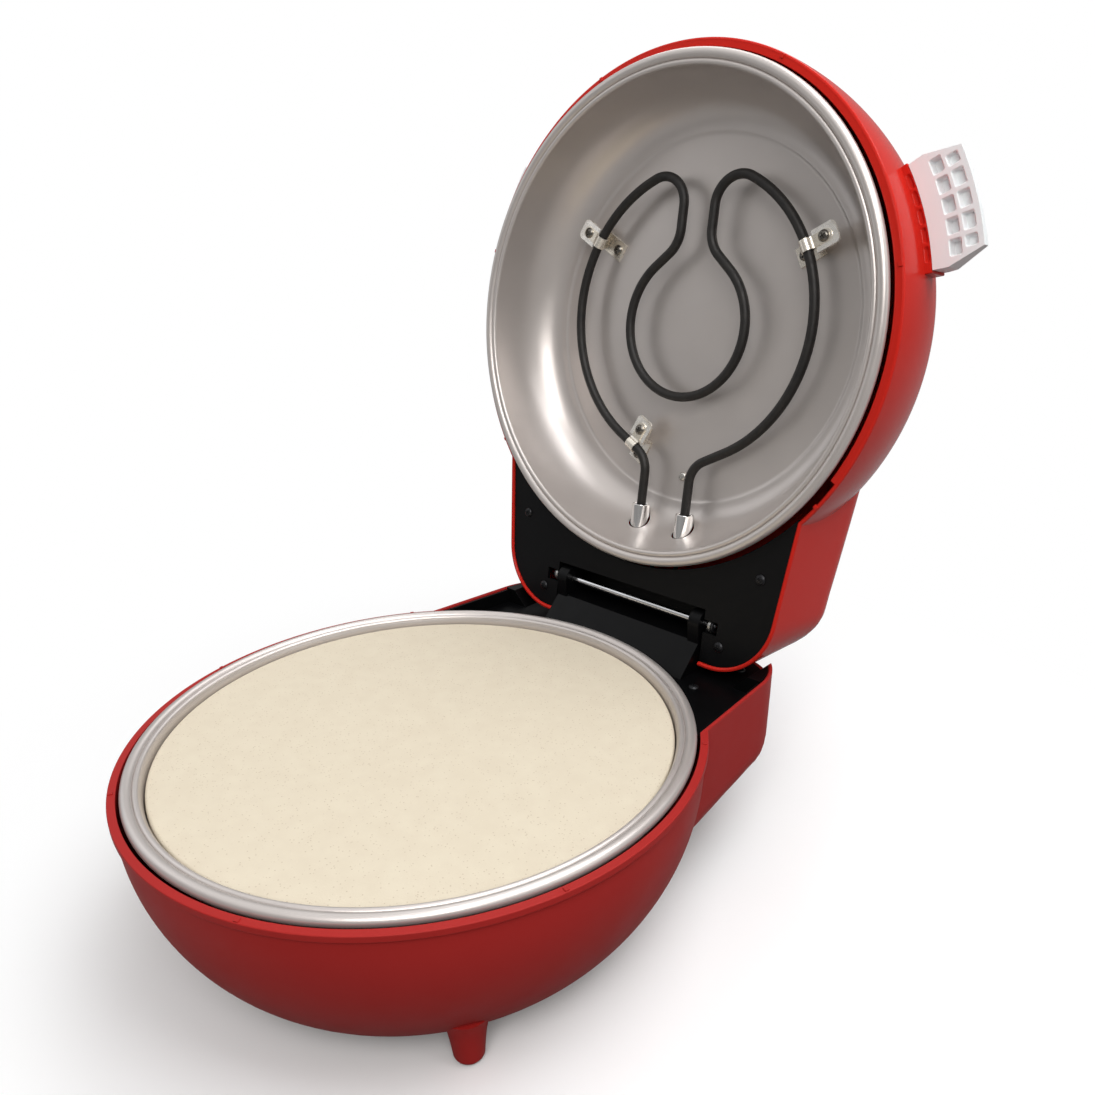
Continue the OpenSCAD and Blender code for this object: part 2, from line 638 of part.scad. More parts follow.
// Hinge
module hinge_riser() color(black) base_place() {
    riser_body();
    both_sides() translate([riser_screw[0], riser_screw[1], -deck_depth]) difference() {
        cylinder(h = riser_top + deck_depth - 2, r = 4.5);
        translate([0, 0, -cut]) cylinder(h = 13, r = 1.8);
    }
}
module riser_body() difference() {
    union() {
        along_x(riser_x) polygon([[riser_front, -deck_depth], [ramp_top_y, riser_top],
            [riser_back, riser_top], [riser_back, -deck_depth]]);
        both_sides() translate([riser_x - arm_t, 0, 0]) rotate([90, 0, 90]) linear_extrude(arm_t) {
            translate([hinge_y, hinge_z]) circle(arm_r, $fn = 64);
            polygon([[hinge_y - arm_r, 0], [hinge_y + arm_r, 0], [hinge_y + arm_r, hinge_z],
                [hinge_y - arm_r, hinge_z]]);
        }
    }
    translate([0, hinge_y, hinge_z]) rotate([0, 90, 0]) cylinder(h = 200, r = hinge_rod_d / 2 + hinge_fit,
        center = true, $fn = 48);
    // Hollow underneath, behind the ramp
    along_x(riser_x - arm_t) polygon([[riser_front + 10, -deck_depth - cut], [ramp_top_y + 2,
        riser_top - 4], [riser_back - 3, riser_top - 4], [riser_back - 3, -deck_depth - cut]]);
}
module along_x(half) rotate([90, 0, 90]) linear_extrude(2 * half, center = true) children();
module riser_screws() color(black) base_place() both_sides()
    translate([riser_screw[0], riser_screw[1], -deck_depth - deck_t]) mirror([0, 0, 1])
        pan_screw(1.8, 12, 3.6, 2);
module hinge_rod() color(steel) base_place() translate([0, hinge_y, hinge_z]) rotate([0, 90, 0])
    cylinder(h = hinge_rod_l, r = hinge_rod_d / 2, center = true, $fn = 48);
module hinge_rod_nuts() color("dimgray") base_place() both_sides()
    translate([hinge_rod_l / 2 - 1 - nut_t, hinge_y, hinge_z]) rotate([0, 90, 0]) difference() {
        cylinder(h = nut_t, r = nut_r, $fn = 40);
        translate([0, 0, -cut]) cylinder(h = 5, r = hinge_rod_d / 2, $fn = 48);
    }
// Steel ear beside the pocket, with the bore that turns on the rod
module hinge_ear() translate([ear_x, 0, 0]) rotate([90, 0, 90]) linear_extrude(ear_t) difference() {
    union() {
        translate([hinge_y, hinge_z]) circle(5, $fn = 48);
        polygon([[hinge_y - 5, hinge_z], [hinge_y + 5, hinge_z], [hinge_y + 5, 34],
            [hinge_y - 24, 34], [hinge_y - 24, 23], [hinge_y - 5, 23]]);
    }
    translate([hinge_y, hinge_z]) circle(hinge_rod_d / 2 + hinge_fit, $fn = 48);
    for (y = ear_screw_y) translate([y, ear_screw_z]) circle(1.7, $fn = 32);
}
module hinge_ear_right() color("lightgray") lid_place() hinge_ear();
module hinge_ear_left() color("lightgray") lid_place() mirror([1, 0, 0]) hinge_ear();
module hinge_ear_screws() color("gray") lid_place() both_sides() for (y = ear_screw_y)
    translate([ear_x + ear_t, y, ear_screw_z]) rotate([0, 90, 0])
        pan_screw(1.7, ear_t + fit + pocket_wall, 3, 1.6);

// Opening for the inlet's body and its two screws, from the origin towards the rear
module inlet_hole(gap) {
    translate([-inlet_body[0] / 2 - gap, -10, -inlet_body[1] / 2 - gap])
        cube([inlet_body[0] + 2 * gap, 60, inlet_body[1] + 2 * gap]);
    both_sides() translate([20, -10, 0]) rotate([-90, 0, 0]) cylinder(h = 60, r = 1.3, $fn = 32);
}
module power_inlet() color(black) base_place() translate([0, inlet_y, inlet_z]) difference() {
    union() {
        translate([-inlet_w / 2, 0, -inlet_h / 2]) cube([inlet_w, 3, inlet_h]);
        translate([-inlet_body[0] / 2, -inlet_body[2], -inlet_body[1] / 2])
            cube([inlet_body[0], inlet_body[2] + 1, inlet_body[1]]);
    }
    translate([-inlet_recess[0] / 2, 3 - inlet_recess[2], -inlet_recess[1] / 2]) cube([inlet_recess[0],
        inlet_recess[2] + 1, inlet_recess[1]]);
    both_sides() translate([20, -cut, 0]) rotate([-90, 0, 0]) cylinder(h = 6, r = 1.6, $fn = 32);
    for (p = inlet_pins) translate([p[0] - 1, -30, p[1] - 2]) cube([2, 30, 4]);
}
module inlet_contacts() color("silver") base_place() translate([0, inlet_y, inlet_z])
    for (p = inlet_pins) translate([p[0] - 1, -inlet_body[2] - 7, p[1] - 2]) cube([2, 24, 4]);
module inlet_screws() color("gray") base_place() translate([0, inlet_y + 3, inlet_z])
    both_sides() translate([20, 0, 0]) rotate([-90, 0, 0]) pan_screw(1.3, 9, 2.6, 1.6);

// Terminal block with two ways, on its back at the origin
module terminal_block() {
    difference() {
        translate([-16, 0, 0]) cube([32, 16, 12]);
        for (x = [-8, 8]) {
            translate([x, 8, 7]) cylinder(h = 10, r = 2.6, $fn = 32);
            translate([x, -cut, 5]) rotate([-90, 0, 0]) cylinder(h = 30, r = 1.9, $fn = 32);
        }
    }
}

module base_terminal_block() color("ivory") base_place() translate([0, 172, -66]) terminal_block();
module thermostat() color("gray") base_place() translate([36, 0, -dish_depth - floor_step - dish_t]) {
    translate([0, 0, -2]) cylinder(h = 2, r = 12, $fn = 40);
    translate([0, 0, -12]) cylinder(h = 11, r = 8.5, $fn = 40);
    for (x = [-4, 4]) translate([x - 0.4, -2.5, -19]) cube([0.8, 5, 8]);
}
module base_leads() color("lightslategray") base_place() {
    back = inlet_y - inlet_body[2] - 7 - fit;
    floor_z = -dish_depth - floor_step - dish_t - 19.4;
    rod_y = lead_end + pin_l + fit;
    wire([[7, back, inlet_z - 2], [7, back - 4, inlet_z - 3], [8, 193, -42], [8, 195, -56], [8, 192, -61],
        [8, 188.4, -61]], ref = [1, 0.1, 0.2]);
    wire([[-7, back, inlet_z - 2], [-7, back - 4, inlet_z - 3], [-8, 193, -42], [-8, 195, -56],
        [-8, 192, -61], [-8, 188.4, -61]], ref = [1, 0.1, 0.2]);
    wire([[0, back, inlet_z + 2], [0, back - 6, inlet_z], [0, 168, -46], [0, 140, -66], [-8, 100, -74]]);
    wire([[lead_x, rod_y, -rod_depth], [lead_x, rod_y + 3, -rod_depth - 3], [14, 166, -54],
        [8, 168, -61], [8, 171.6, -61]], ref = [1, 0.1, 0.2]);
    wire([[-8, 171.6, -61], [-8, 168, -61], [-12, 150, -66], [0, 60, -84], [24, 10, -84], [32, 0, -78],
        [32, 0, floor_z]], ref = [1, 0.3, 0.2]);
    wire([[40, 0, floor_z], [40, 0, -78], [40, 20, -86], [24, 90, -84], [-24, 140, -66],
        [-lead_x - 2, rod_y + 5, -46], [-lead_x, rod_y + 3, -rod_depth], [-lead_x, rod_y, -rod_depth]],
        ref = [1, 0.3, 0.2]);
}

// Lid shell
module dome_form(inset, from_z) {
    line = concat(arc(side_c, dome_side_r - inset, 0, side_end, 10),
        arc(shoulder_c, dome_shoulder_r - inset, side_end + 3, crown_end, 8),
        arc(crown_c, dome_crown_r - inset, crown_end + 1, 90, 8));
    rotate_extrude($fn = 144) polygon(concat([[0, from_z], [dome_r - inset, from_z]], line));
}
// One row of five pockets in the lower face of a handle or its bed, with smaller ones at the cut corners
module pocket_row(row) for (i = [-2:2]) {
    corner = row == 2 && abs(i) == 2;
    size = corner ? pocket_along[row] - 3.2 : pocket_along[row];
    rotate([0, 0, i * pocket_turn - (corner ? sign(i) * 0.45 : 0)])
        translate([pocket_r[row] - pocket_out[row] / 2, -size / 2, handle_z - cut])
            cube([pocket_out[row], size, pocket_deep[row] + cut]);
}
// Red bed that each handle's root stands on
module handle_bed() handle_frame() difference() {
    translate([0, 0, handle_z]) linear_extrude(height = root_t + 1)
        polygon(concat(arc([0, 0], 160, handle_half + 0.5, -handle_half - 0.5, 12),
            arc([0, 0], handle_root - fit, -handle_half - 0.5, handle_half + 0.5, 12)));
    pocket_row(0);
}
module lid_shell() color(red) lid_place() {
    difference() {
        union() {
            dome_form(0, lid_rim);
            lid_block(0);
            both_sides() handle_bed();
        }
        dome_form(wall, lid_rim - cut);
        lid_block(wall);
        translate([0, 0, lid_rim - 50]) cylinder(h = 50, r = 300);
        // Notch in the rear wall for the riser
        translate([-pocket_x, pocket_y, lid_rim - cut]) cube([2 * pocket_x, 60, pocket_top - lid_rim + cut]);
        // Screw holes of the handles, with flat seats for the heads
        both_sides() handle_frame() for (t = [-22, 22]) translate([150, t, handle_screw_z]) rotate([0, 90, 0]) {
            cylinder(h = 30, r = 1.6, $fn = 32);
            cylinder(h = handle_seat - 150, r = 4, $fn = 32);
        }
    }
    // Inner lip that the open edge carries, in front of the block
    difference() {
        translate([0, 0, lid_rim]) rotate_extrude($fn = 144) translate([lid_lip_in, 0])
            square([dome_r - lid_lip_in - 1, 2]);
        translate([-300, 95, 0]) cube([600, 300, 60]);
    }
    // Posts that the upper dish is screwed to
    intersection() {
        clip_places() translate([0, 0, ring_gap + dish_depth + floor_step + dish_t]) difference() {
            cylinder(h = dome_h, r = 5, $fn = 32);
            translate([0, 0, -cut]) cylinder(h = 14, r = screw_r, $fn = 32);
        }
        dome_form(wall / 2, lid_rim);
    }
    // Posts that the panel is screwed to
    intersection() {
        both_sides() for (p = panel_screws_at) translate([p[0], p[1], panel_z + panel_t]) difference() {
            cylinder(h = dome_h, r = 4.5, $fn = 32);
            translate([0, 0, -cut]) cylinder(h = 14, r = 1.3, $fn = 32);
        }
        lid_block(wall / 2);
    }
}
module lid_inner_panel() color(black) lid_place() difference() {
    union() {
        intersection() {
            lid_block(wall + fit);
            translate([-200, 80, panel_z]) cube([400, 200, panel_t]);
        }
        // Pocket round the hinge
        translate([-pocket_x - pocket_wall, pocket_y - pocket_wall, panel_z])
            cube([2 * (pocket_x + pocket_wall), block_y - 5.5 - pocket_y,
                pocket_top + pocket_wall - panel_z]);
    }
    translate([0, 0, -20]) cylinder(h = 60, r = ring_r + deck_gap, $fn = 144);
    translate([-pocket_x, pocket_y, 0]) cube([2 * pocket_x, 60, pocket_top]);
    // Rod passes through the pocket's walls, and each of its ends shows in a small slot
    translate([0, hinge_y, hinge_z]) rotate([0, 90, 0]) cylinder(h = 200, r = hinge_rod_d / 2 + 1,
        center = true, $fn = 48);
    both_sides() translate([pocket_x - cut, hinge_y - slot_y, 0])
        cube([12, 2 * slot_y, panel_z + panel_t + 0.3]);
    both_sides() for (p = panel_screws_at) translate([p[0], p[1], 0]) cylinder(h = 30, r = 1.7, $fn = 32);
    both_sides() for (y = ear_screw_y) translate([0, y, ear_screw_z]) rotate([0, 90, 0])
        cylinder(h = 100, r = 1.7, $fn = 32);
}
module panel_screws() color("gray") lid_place() both_sides() for (p = panel_screws_at)
    translate([p[0], p[1], panel_z]) mirror([0, 0, 1]) pan_screw(1.3, 12, 3.4, 1.8);

// Handle frame: x points outwards from the ring's centre, y along the dome's side
module handle_frame() rotate([0, 0, handle_angle - 90]) children();
module handle() handle_frame() difference() {
    translate([0, 0, handle_z]) linear_extrude(height = root_t)
        polygon(concat(arc([0, 0], handle_root, handle_half, -handle_half, 12),
            [polar(handle_root + corner_run, -handle_half)],
            arc([0, 0], handle_reach, corner_cut - handle_half, handle_half - corner_cut, 12),
            [polar(handle_root + corner_run, handle_half)]));
    // Upper face falls towards the tip
    translate([handle_root, -100, handle_z + root_t]) rotate([0, tip_slope, 0]) cube([60, 200, 60]);
    pocket_row(1);
    pocket_row(2);
    for (t = [-22, 22]) translate([160, t, handle_screw_z]) rotate([0, 90, 0])
        cylinder(h = 24.5, r = 1.3, $fn = 32);
}
module handle_right() color("white") lid_place() handle();
module handle_left() color("white") lid_place() mirror([1, 0, 0]) handle();
module handle_screws() color("gray") lid_place() both_sides() handle_frame() for (t = [-22, 22])
    translate([handle_seat, t, handle_screw_z]) rotate([0, -90, 0]) pan_screw(1.3, 17, 3.4, 2);

module lid_terminal_block() color("ivory") lid_place() translate([0, 184, pocket_top + pocket_wall])
    terminal_block();
// Fuse frame: on the outer face of the upper dish's floor, z pointing along the fuse
module fuse_place() upper_dish_place() translate([0, 60, dish_depth + floor_step + dish_t])
    rotate([0, 90, 0]) translate([-fuse_lift, 0, 0]) children();
module thermal_fuse() color("tan") fuse_place() {
    cylinder(h = 24, r = fuse_r, center = true, $fn = 32);
    cylinder(h = 36, r = 0.8, center = true, $fn = 24);
}
module fuse_strap() color("lightgray") fuse_place() difference() {
    union() {
        cylinder(h = 8, r = fuse_r + 0.8, center = true, $fn = 32);
        translate([fuse_lift - 1, -10, -4]) cube([1, 20, 8]);
    }
    cylinder(h = 10, r = fuse_r, center = true, $fn = 32);
    translate([fuse_lift, -20, -5]) cube([10, 40, 10]);
}
module lid_leads() color("lightslategray") lid_place() {
    z = ring_gap + rod_depth;
    rod_y = lead_end + pin_l + fit;
    entry = pocket_top + pocket_wall + 5;
    fuse_z = ring_gap + dish_depth + floor_step + dish_t + fuse_lift;
    wire([[lead_x, rod_y, z], [lead_x, rod_y + 4, z], [12, 176, entry], [8, 180, entry],
        [8, 183.6, entry]], ref = [0.1, 0.2, 1]);
    wire([[-lead_x, rod_y, z], [-lead_x, rod_y + 3, z + 3], [-40, 130, 64], [-38, 80, 62], [-24, 60, fuse_z],
        [-18.4, 60, fuse_z]], ref = [0.1, 0.2, 1]);
    wire([[18.4, 60, fuse_z], [23, 60, fuse_z], [30, 90, 62], [16, 150, 60], [-8, 176, entry + 2],
        [-8, 183.6, entry]], ref = [0.1, 0.2, 1]);
}

base_shell();
base_deck();
deck_screws();
foot_pads();
lower_dish();
dish_screws();
baking_stone();
lower_heating_rod();
lower_rod_sleeves();
lower_clip_brackets();
lower_clip_straps();
lower_clip_screws();
hinge_riser();
riser_screws();
hinge_rod();
hinge_rod_nuts();
power_inlet();
inlet_contacts();
inlet_screws();
base_terminal_block();
thermostat();
base_leads();
lid_shell();
lid_inner_panel();
panel_screws();
upper_dish();
upper_heating_rod();
upper_rod_sleeves();
upper_clip_brackets();
upper_clip_straps();
upper_clip_screws();
upper_dish_rivet();
handle_left();
handle_right();
handle_screws();
hinge_ear_left();
hinge_ear_right();
hinge_ear_screws();
lid_terminal_block();
thermal_fuse();
fuse_strap();
lid_leads();
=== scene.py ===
import math

import bmesh
import bpy
import numpy as np
from mathutils import Matrix, Vector


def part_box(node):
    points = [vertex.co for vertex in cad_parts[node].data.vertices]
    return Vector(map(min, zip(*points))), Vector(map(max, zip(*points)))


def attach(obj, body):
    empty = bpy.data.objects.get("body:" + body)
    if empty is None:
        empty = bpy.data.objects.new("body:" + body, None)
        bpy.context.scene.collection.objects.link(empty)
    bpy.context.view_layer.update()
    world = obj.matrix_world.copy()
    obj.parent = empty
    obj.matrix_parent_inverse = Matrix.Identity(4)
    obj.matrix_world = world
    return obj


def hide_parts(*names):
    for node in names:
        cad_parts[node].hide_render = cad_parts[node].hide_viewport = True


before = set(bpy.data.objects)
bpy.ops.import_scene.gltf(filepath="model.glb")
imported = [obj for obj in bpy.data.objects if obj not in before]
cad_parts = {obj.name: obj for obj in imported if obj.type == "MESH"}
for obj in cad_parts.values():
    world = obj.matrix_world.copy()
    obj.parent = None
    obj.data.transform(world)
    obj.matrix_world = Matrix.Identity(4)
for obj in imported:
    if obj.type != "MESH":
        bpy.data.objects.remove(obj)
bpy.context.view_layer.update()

# Every piece is drawn in millimetres with z = 0 at the ring plane and y = 0 at the rings' centre.
# Lid pieces are drawn shut, and dish pieces grow upwards from their ring.
place = {
    "ringHeight": 120.0,  # ring plane above the table
    "hingeY": 194.1,      # hinge axis behind the rings' centre
    "hingeZ": 16.0,       # and above the ring plane
    "openAngle": 100.9,   # how far the lid leans back from shut
    "ringGap": 1.2,       # between the two rings when shut
}
rodLow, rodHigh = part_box("hinge_rod")
shiftY = (rodLow.y + rodHigh.y) * 500 - place["hingeY"]
baseTurn = Matrix.Translation((0, shiftY, place["ringHeight"]))
hingeTurn = Matrix.Translation((0, place["hingeY"], place["hingeZ"]))
opening = Matrix.Rotation(math.radians(-place["openAngle"]), 4, "X")
lidTurn = baseTurn @ hingeTurn @ opening @ hingeTurn.inverted()
upperTurn = lidTurn @ Matrix.Translation((0, 0, place["ringGap"]))
lowerTurn = baseTurn @ Matrix.Diagonal((1, 1, -1, 1))


def sinDeg(angle):
    return math.sin(math.radians(angle))


def cosDeg(angle):
    return math.cos(math.radians(angle))


# Mesh helpers

def shift(x, y, z):
    return Matrix.Translation((x, y, z))


def spin(angle, axis="Z"):
    return Matrix.Rotation(math.radians(angle), 4, axis)


def alongY(x, y, z):
    # for a lathe that starts at a point and runs backwards
    return shift(x, y, z) @ spin(-90, "X")


def linked(name, data):
    obj = bpy.data.objects.new(name, data)
    bpy.context.scene.collection.objects.link(obj)
    return obj


def reworked(mesh, work):
    # runs one step of mesh editing on a mesh
    bm = bmesh.new()
    bm.from_mesh(mesh)
    work(bm)
    bm.to_mesh(mesh)
    bm.free()


def faceOutwards(bm):
    bmesh.ops.recalc_face_normals(bm, faces=bm.faces)


def mergeDoubles(bm):
    bmesh.ops.remove_doubles(bm, verts=bm.verts, dist=1e-4)
    faceOutwards(bm)


def meshObject(name, verts, faces):
    mesh = bpy.data.meshes.new(name)
    mesh.from_pydata([tuple(float(c) for c in v) for v in verts], [], faces)
    reworked(mesh, mergeDoubles)
    return linked(name, mesh)


def bake(obj):
    # what the modifiers make becomes the object's own mesh
    view = bpy.context.evaluated_depsgraph_get()
    mesh = bpy.data.meshes.new_from_object(obj.evaluated_get(view))
    old = obj.data
    obj.modifiers.clear()
    obj.data = mesh
    bpy.data.meshes.remove(old)
    return obj


def drop(obj):
    mesh = obj.data
    bpy.data.objects.remove(obj)
    bpy.data.meshes.remove(mesh)


def combine(obj, others, operation):
    for other in others:
        tool = obj.modifiers.new("tool", "BOOLEAN")
        tool.operation = operation
        tool.solver = "MANIFOLD"
        tool.object = other
        bake(obj)
        drop(other)
    return obj


def joined(name, parts):
    # several solids as one object
    bm = bmesh.new()
    for part in parts:
        bm.from_mesh(part.data)
    mesh = bpy.data.meshes.new(name)
    bm.to_mesh(mesh)
    bm.free()
    for part in parts:
        drop(part)
    return linked(name, mesh)


def turned(obj, matrix):
    obj.data.transform(matrix)
    if matrix.determinant() < 0:
        obj.data.flip_normals()
    return obj


def twin(obj, name):
    return linked(name, obj.data.copy())


def lathe(name, profile, steps=240, start=0.0, end=360.0):
    # a closed outline of (radius, height) turned round the z axis
    full = end - start >= 360
    rings = steps if full else steps + 1
    angles = np.radians(np.linspace(start, end, steps + 1))[:rings]
    verts = [(r * math.cos(a), r * math.sin(a), z) for a in angles for r, z in profile]
    n = len(profile)
    faces = []
    for i in range(steps):
        a, b = i * n, ((i + 1) % rings) * n
        for j in range(n):
            k = (j + 1) % n
            if profile[j][0] < 1e-6 and profile[k][0] < 1e-6:
                continue
            faces.append((a + j, b + j, b + k, a + k))
    if not full:
        faces.append(tuple(range(n)))
        faces.append(tuple(reversed(range((rings - 1) * n, rings * n))))
    return meshObject(name, verts, faces)


def boxObject(name, low, high):
    verts = [(x, y, z) for x in (low[0], high[0]) for y in (low[1], high[1]) for z in (low[2], high[2])]
    faces = [(0, 1, 3, 2), (4, 6, 7, 5), (0, 4, 5, 1), (2, 3, 7, 6), (0, 2, 6, 4), (1, 5, 7, 3)]
    return meshObject(name, verts, faces)


def prism(name, outline, low, high, axis="z"):
    # an outline of points pushed along one axis
    n = len(outline)
    verts = [(u, s, v) if axis == "y" else (u, v, s) for s in (low, high) for u, v in outline]
    faces = [tuple(reversed(range(n))), tuple(range(n, 2 * n))]
    faces += [(j, (j + 1) % n, n + (j + 1) % n, n + j) for j in range(n)]
    return meshObject(name, verts, faces)


def stacked(name, verts, n):
    # rings of n points, one above the other, closed at both ends
    rows = len(verts) // n
    faces = [(i * n + j, i * n + (j + 1) % n, (i + 1) * n + (j + 1) % n, (i + 1) * n + j)
             for i in range(rows - 1) for j in range(n)]
    faces += [tuple(reversed(range(n))), tuple(range((rows - 1) * n, rows * n))]
    return meshObject(name, verts, faces)


def arcPoints(cx, cz, radius, start, end, count):
    return [(cx + radius * cosDeg(start + (end - start) * i / count),
             cz + radius * sinDeg(start + (end - start) * i / count)) for i in range(count + 1)]


def roundedRect(cx, cy, width, depth, radius, count=4):
    points = []
    for sx, sy, start in ((1, 1, 0), (-1, 1, 90), (-1, -1, 180), (1, -1, 270)):
        points += arcPoints(cx + sx * (width / 2 - radius), cy + sy * (depth / 2 - radius), radius,
                            start, start + 90, count)
    return points


def softEdges(obj, width, segments=2, angle=40):
    tool = obj.modifiers.new("edges", "BEVEL")
    tool.width = width
    tool.segments = segments
    tool.limit_method = "ANGLE"
    tool.angle_limit = math.radians(angle)
    tool.use_clamp_overlap = True
    return bake(obj)


def settle(obj, turn, look, body, slot, *nodes, sharp=28):
    # into the shared frame in metres, smooth but for its real edges, and onto its body
    mesh, limit = obj.data, math.radians(sharp)
    mesh.transform(Matrix.Scale(0.001, 4) @ turn)
    if turn.determinant() < 0:
        mesh.flip_normals()

    def smooth(bm):
        for face in bm.faces:
            face.smooth = True
        for edge in bm.edges:
            edge.smooth = len(edge.link_faces) == 2 and edge.calc_face_angle(0) < limit

    reworked(mesh, smooth)
    # large flat faces keep flat shading beside their rounded edges
    even = obj.modifiers.new("even", "WEIGHTED_NORMAL")
    even.keep_sharp = True
    bake(obj)
    obj.data.materials.clear()
    obj.data.materials.append(materials[look])
    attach(obj, body)
    if nodes:
        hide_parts(*nodes)
    return obj


def frameCopy(name, *nodes):
    # a merged copy of CAD meshes, in metres, for edges to be softened on
    bm = bmesh.new()
    for node in nodes:
        bm.from_mesh(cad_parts[node].data)
    bmesh.ops.remove_doubles(bm, verts=bm.verts, dist=2e-6)
    bmesh.ops.dissolve_limit(bm, angle_limit=math.radians(0.6), verts=bm.verts, edges=bm.edges)
    mesh = bpy.data.meshes.new(name)
    bm.to_mesh(mesh)
    bm.free()
    return linked(name, mesh)


inMetres = Matrix.Scale(1000, 4)  # undoes the scale of settle() for pieces that are in metres already


# Finishes

def srgb(tone):
    return tuple(((c / 255 + 0.055) / 1.055) ** 2.4 if c > 10 else c / 255 / 12.92 for c in tone) + (1.0,)


def nodeAdder(tree):
    # adds a node, sets its options, and fills its inputs with values, or with links where a socket is given
    def add(kind, inputs=None, **options):
        node = tree.nodes.new(kind)
        for option, value in options.items():
            setattr(node, option, value)
        for socket, value in (inputs or {}).items():
            for item in value if isinstance(value, list) else [value]:
                if isinstance(item, bpy.types.NodeSocket):
                    tree.links.new(item, node.inputs[socket])
                else:
                    node.inputs[socket].default_value = item
        return node
    return add


def shaderNodes(owner):
    owner.use_nodes = True
    owner.node_tree.nodes.clear()
    return nodeAdder(owner.node_tree)


def calc(add, operation, first, second):
    return add("ShaderNodeMath", {0: first, 1: second}, operation=operation).outputs[0]


def ranged(add, source, low, high, fromLow=0.3, fromHigh=0.7, **options):
    return add("ShaderNodeMapRange", {"Value": source, "From Min": fromLow, "From Max": fromHigh,
                                      "To Min": low, "To Max": high}, **options).outputs["Result"]


def finish(name, look):
    # one Principled surface: two close tones, a changing gloss and layers of relief, on object coordinates
    material = bpy.data.materials.new(name)
    add = shaderNodes(material)
    coords = add("ShaderNodeTexCoord").outputs["Object"]

    def noise(scale, detail, stretch=None):
        source = coords
        if stretch:
            source = add("ShaderNodeMapping", {"Vector": coords, "Scale": stretch}).outputs["Vector"]
        return add("ShaderNodeTexNoise", {"Scale": scale, "Detail": detail, "Vector": source}).outputs["Fac"]

    def layered(share, below, above):
        return add("ShaderNodeMix", {0: share, 6: below, 7: above}, data_type="RGBA").outputs[2]

    patches = noise(look["toneScale"], 4.0, look.get("toneStretch"))
    colour = layered(ranged(add, patches, 0, 1), *(srgb(tone) for tone in look["tones"]))
    for speck in look.get("specks", []):
        # small grains of another tone
        cells = add("ShaderNodeTexVoronoi", {"Scale": speck["scale"], "Vector": coords}).outputs["Distance"]
        dots = ranged(add, cells, speck["amount"], 0, 0.0, speck["size"])
        colour = layered(dots, colour, srgb(speck["tone"]))
    if "edgeWearAndHighlight" in look:
        # edges painted lighter where the surface turns sharply outwards: partly rubbed wear, partly a painted
        # highlight standing in for the glints on the clips and their screws
        edges = add("ShaderNodeNewGeometry").outputs["Pointiness"]
        wornAndLitEdges = ranged(add, edges, 0, look["edgeWearAndHighlight"]["amount"], 0.52, 0.62)
        colour = layered(wornAndLitEdges, colour, srgb(look["edgeWearAndHighlight"]["tone"]))
    gloss = ranged(add, noise(look["roughScale"], 3.0, look.get("roughStretch")), *look["rough"])
    bumps = {}
    for scale, depth, detail, *stretch in look["relief"]:
        height = noise(scale, detail, *stretch)
        bump = add("ShaderNodeBump", {"Strength": 1.0, "Distance": depth, "Height": height, **bumps})
        bumps = {"Normal": bump.outputs["Normal"]}
    surface = add("ShaderNodeBsdfPrincipled", {"Base Color": colour, "Roughness": gloss, **bumps,
                                               **look.get("set", {})})
    add("ShaderNodeOutputMaterial", {"Surface": surface.outputs["BSDF"]})
    return material


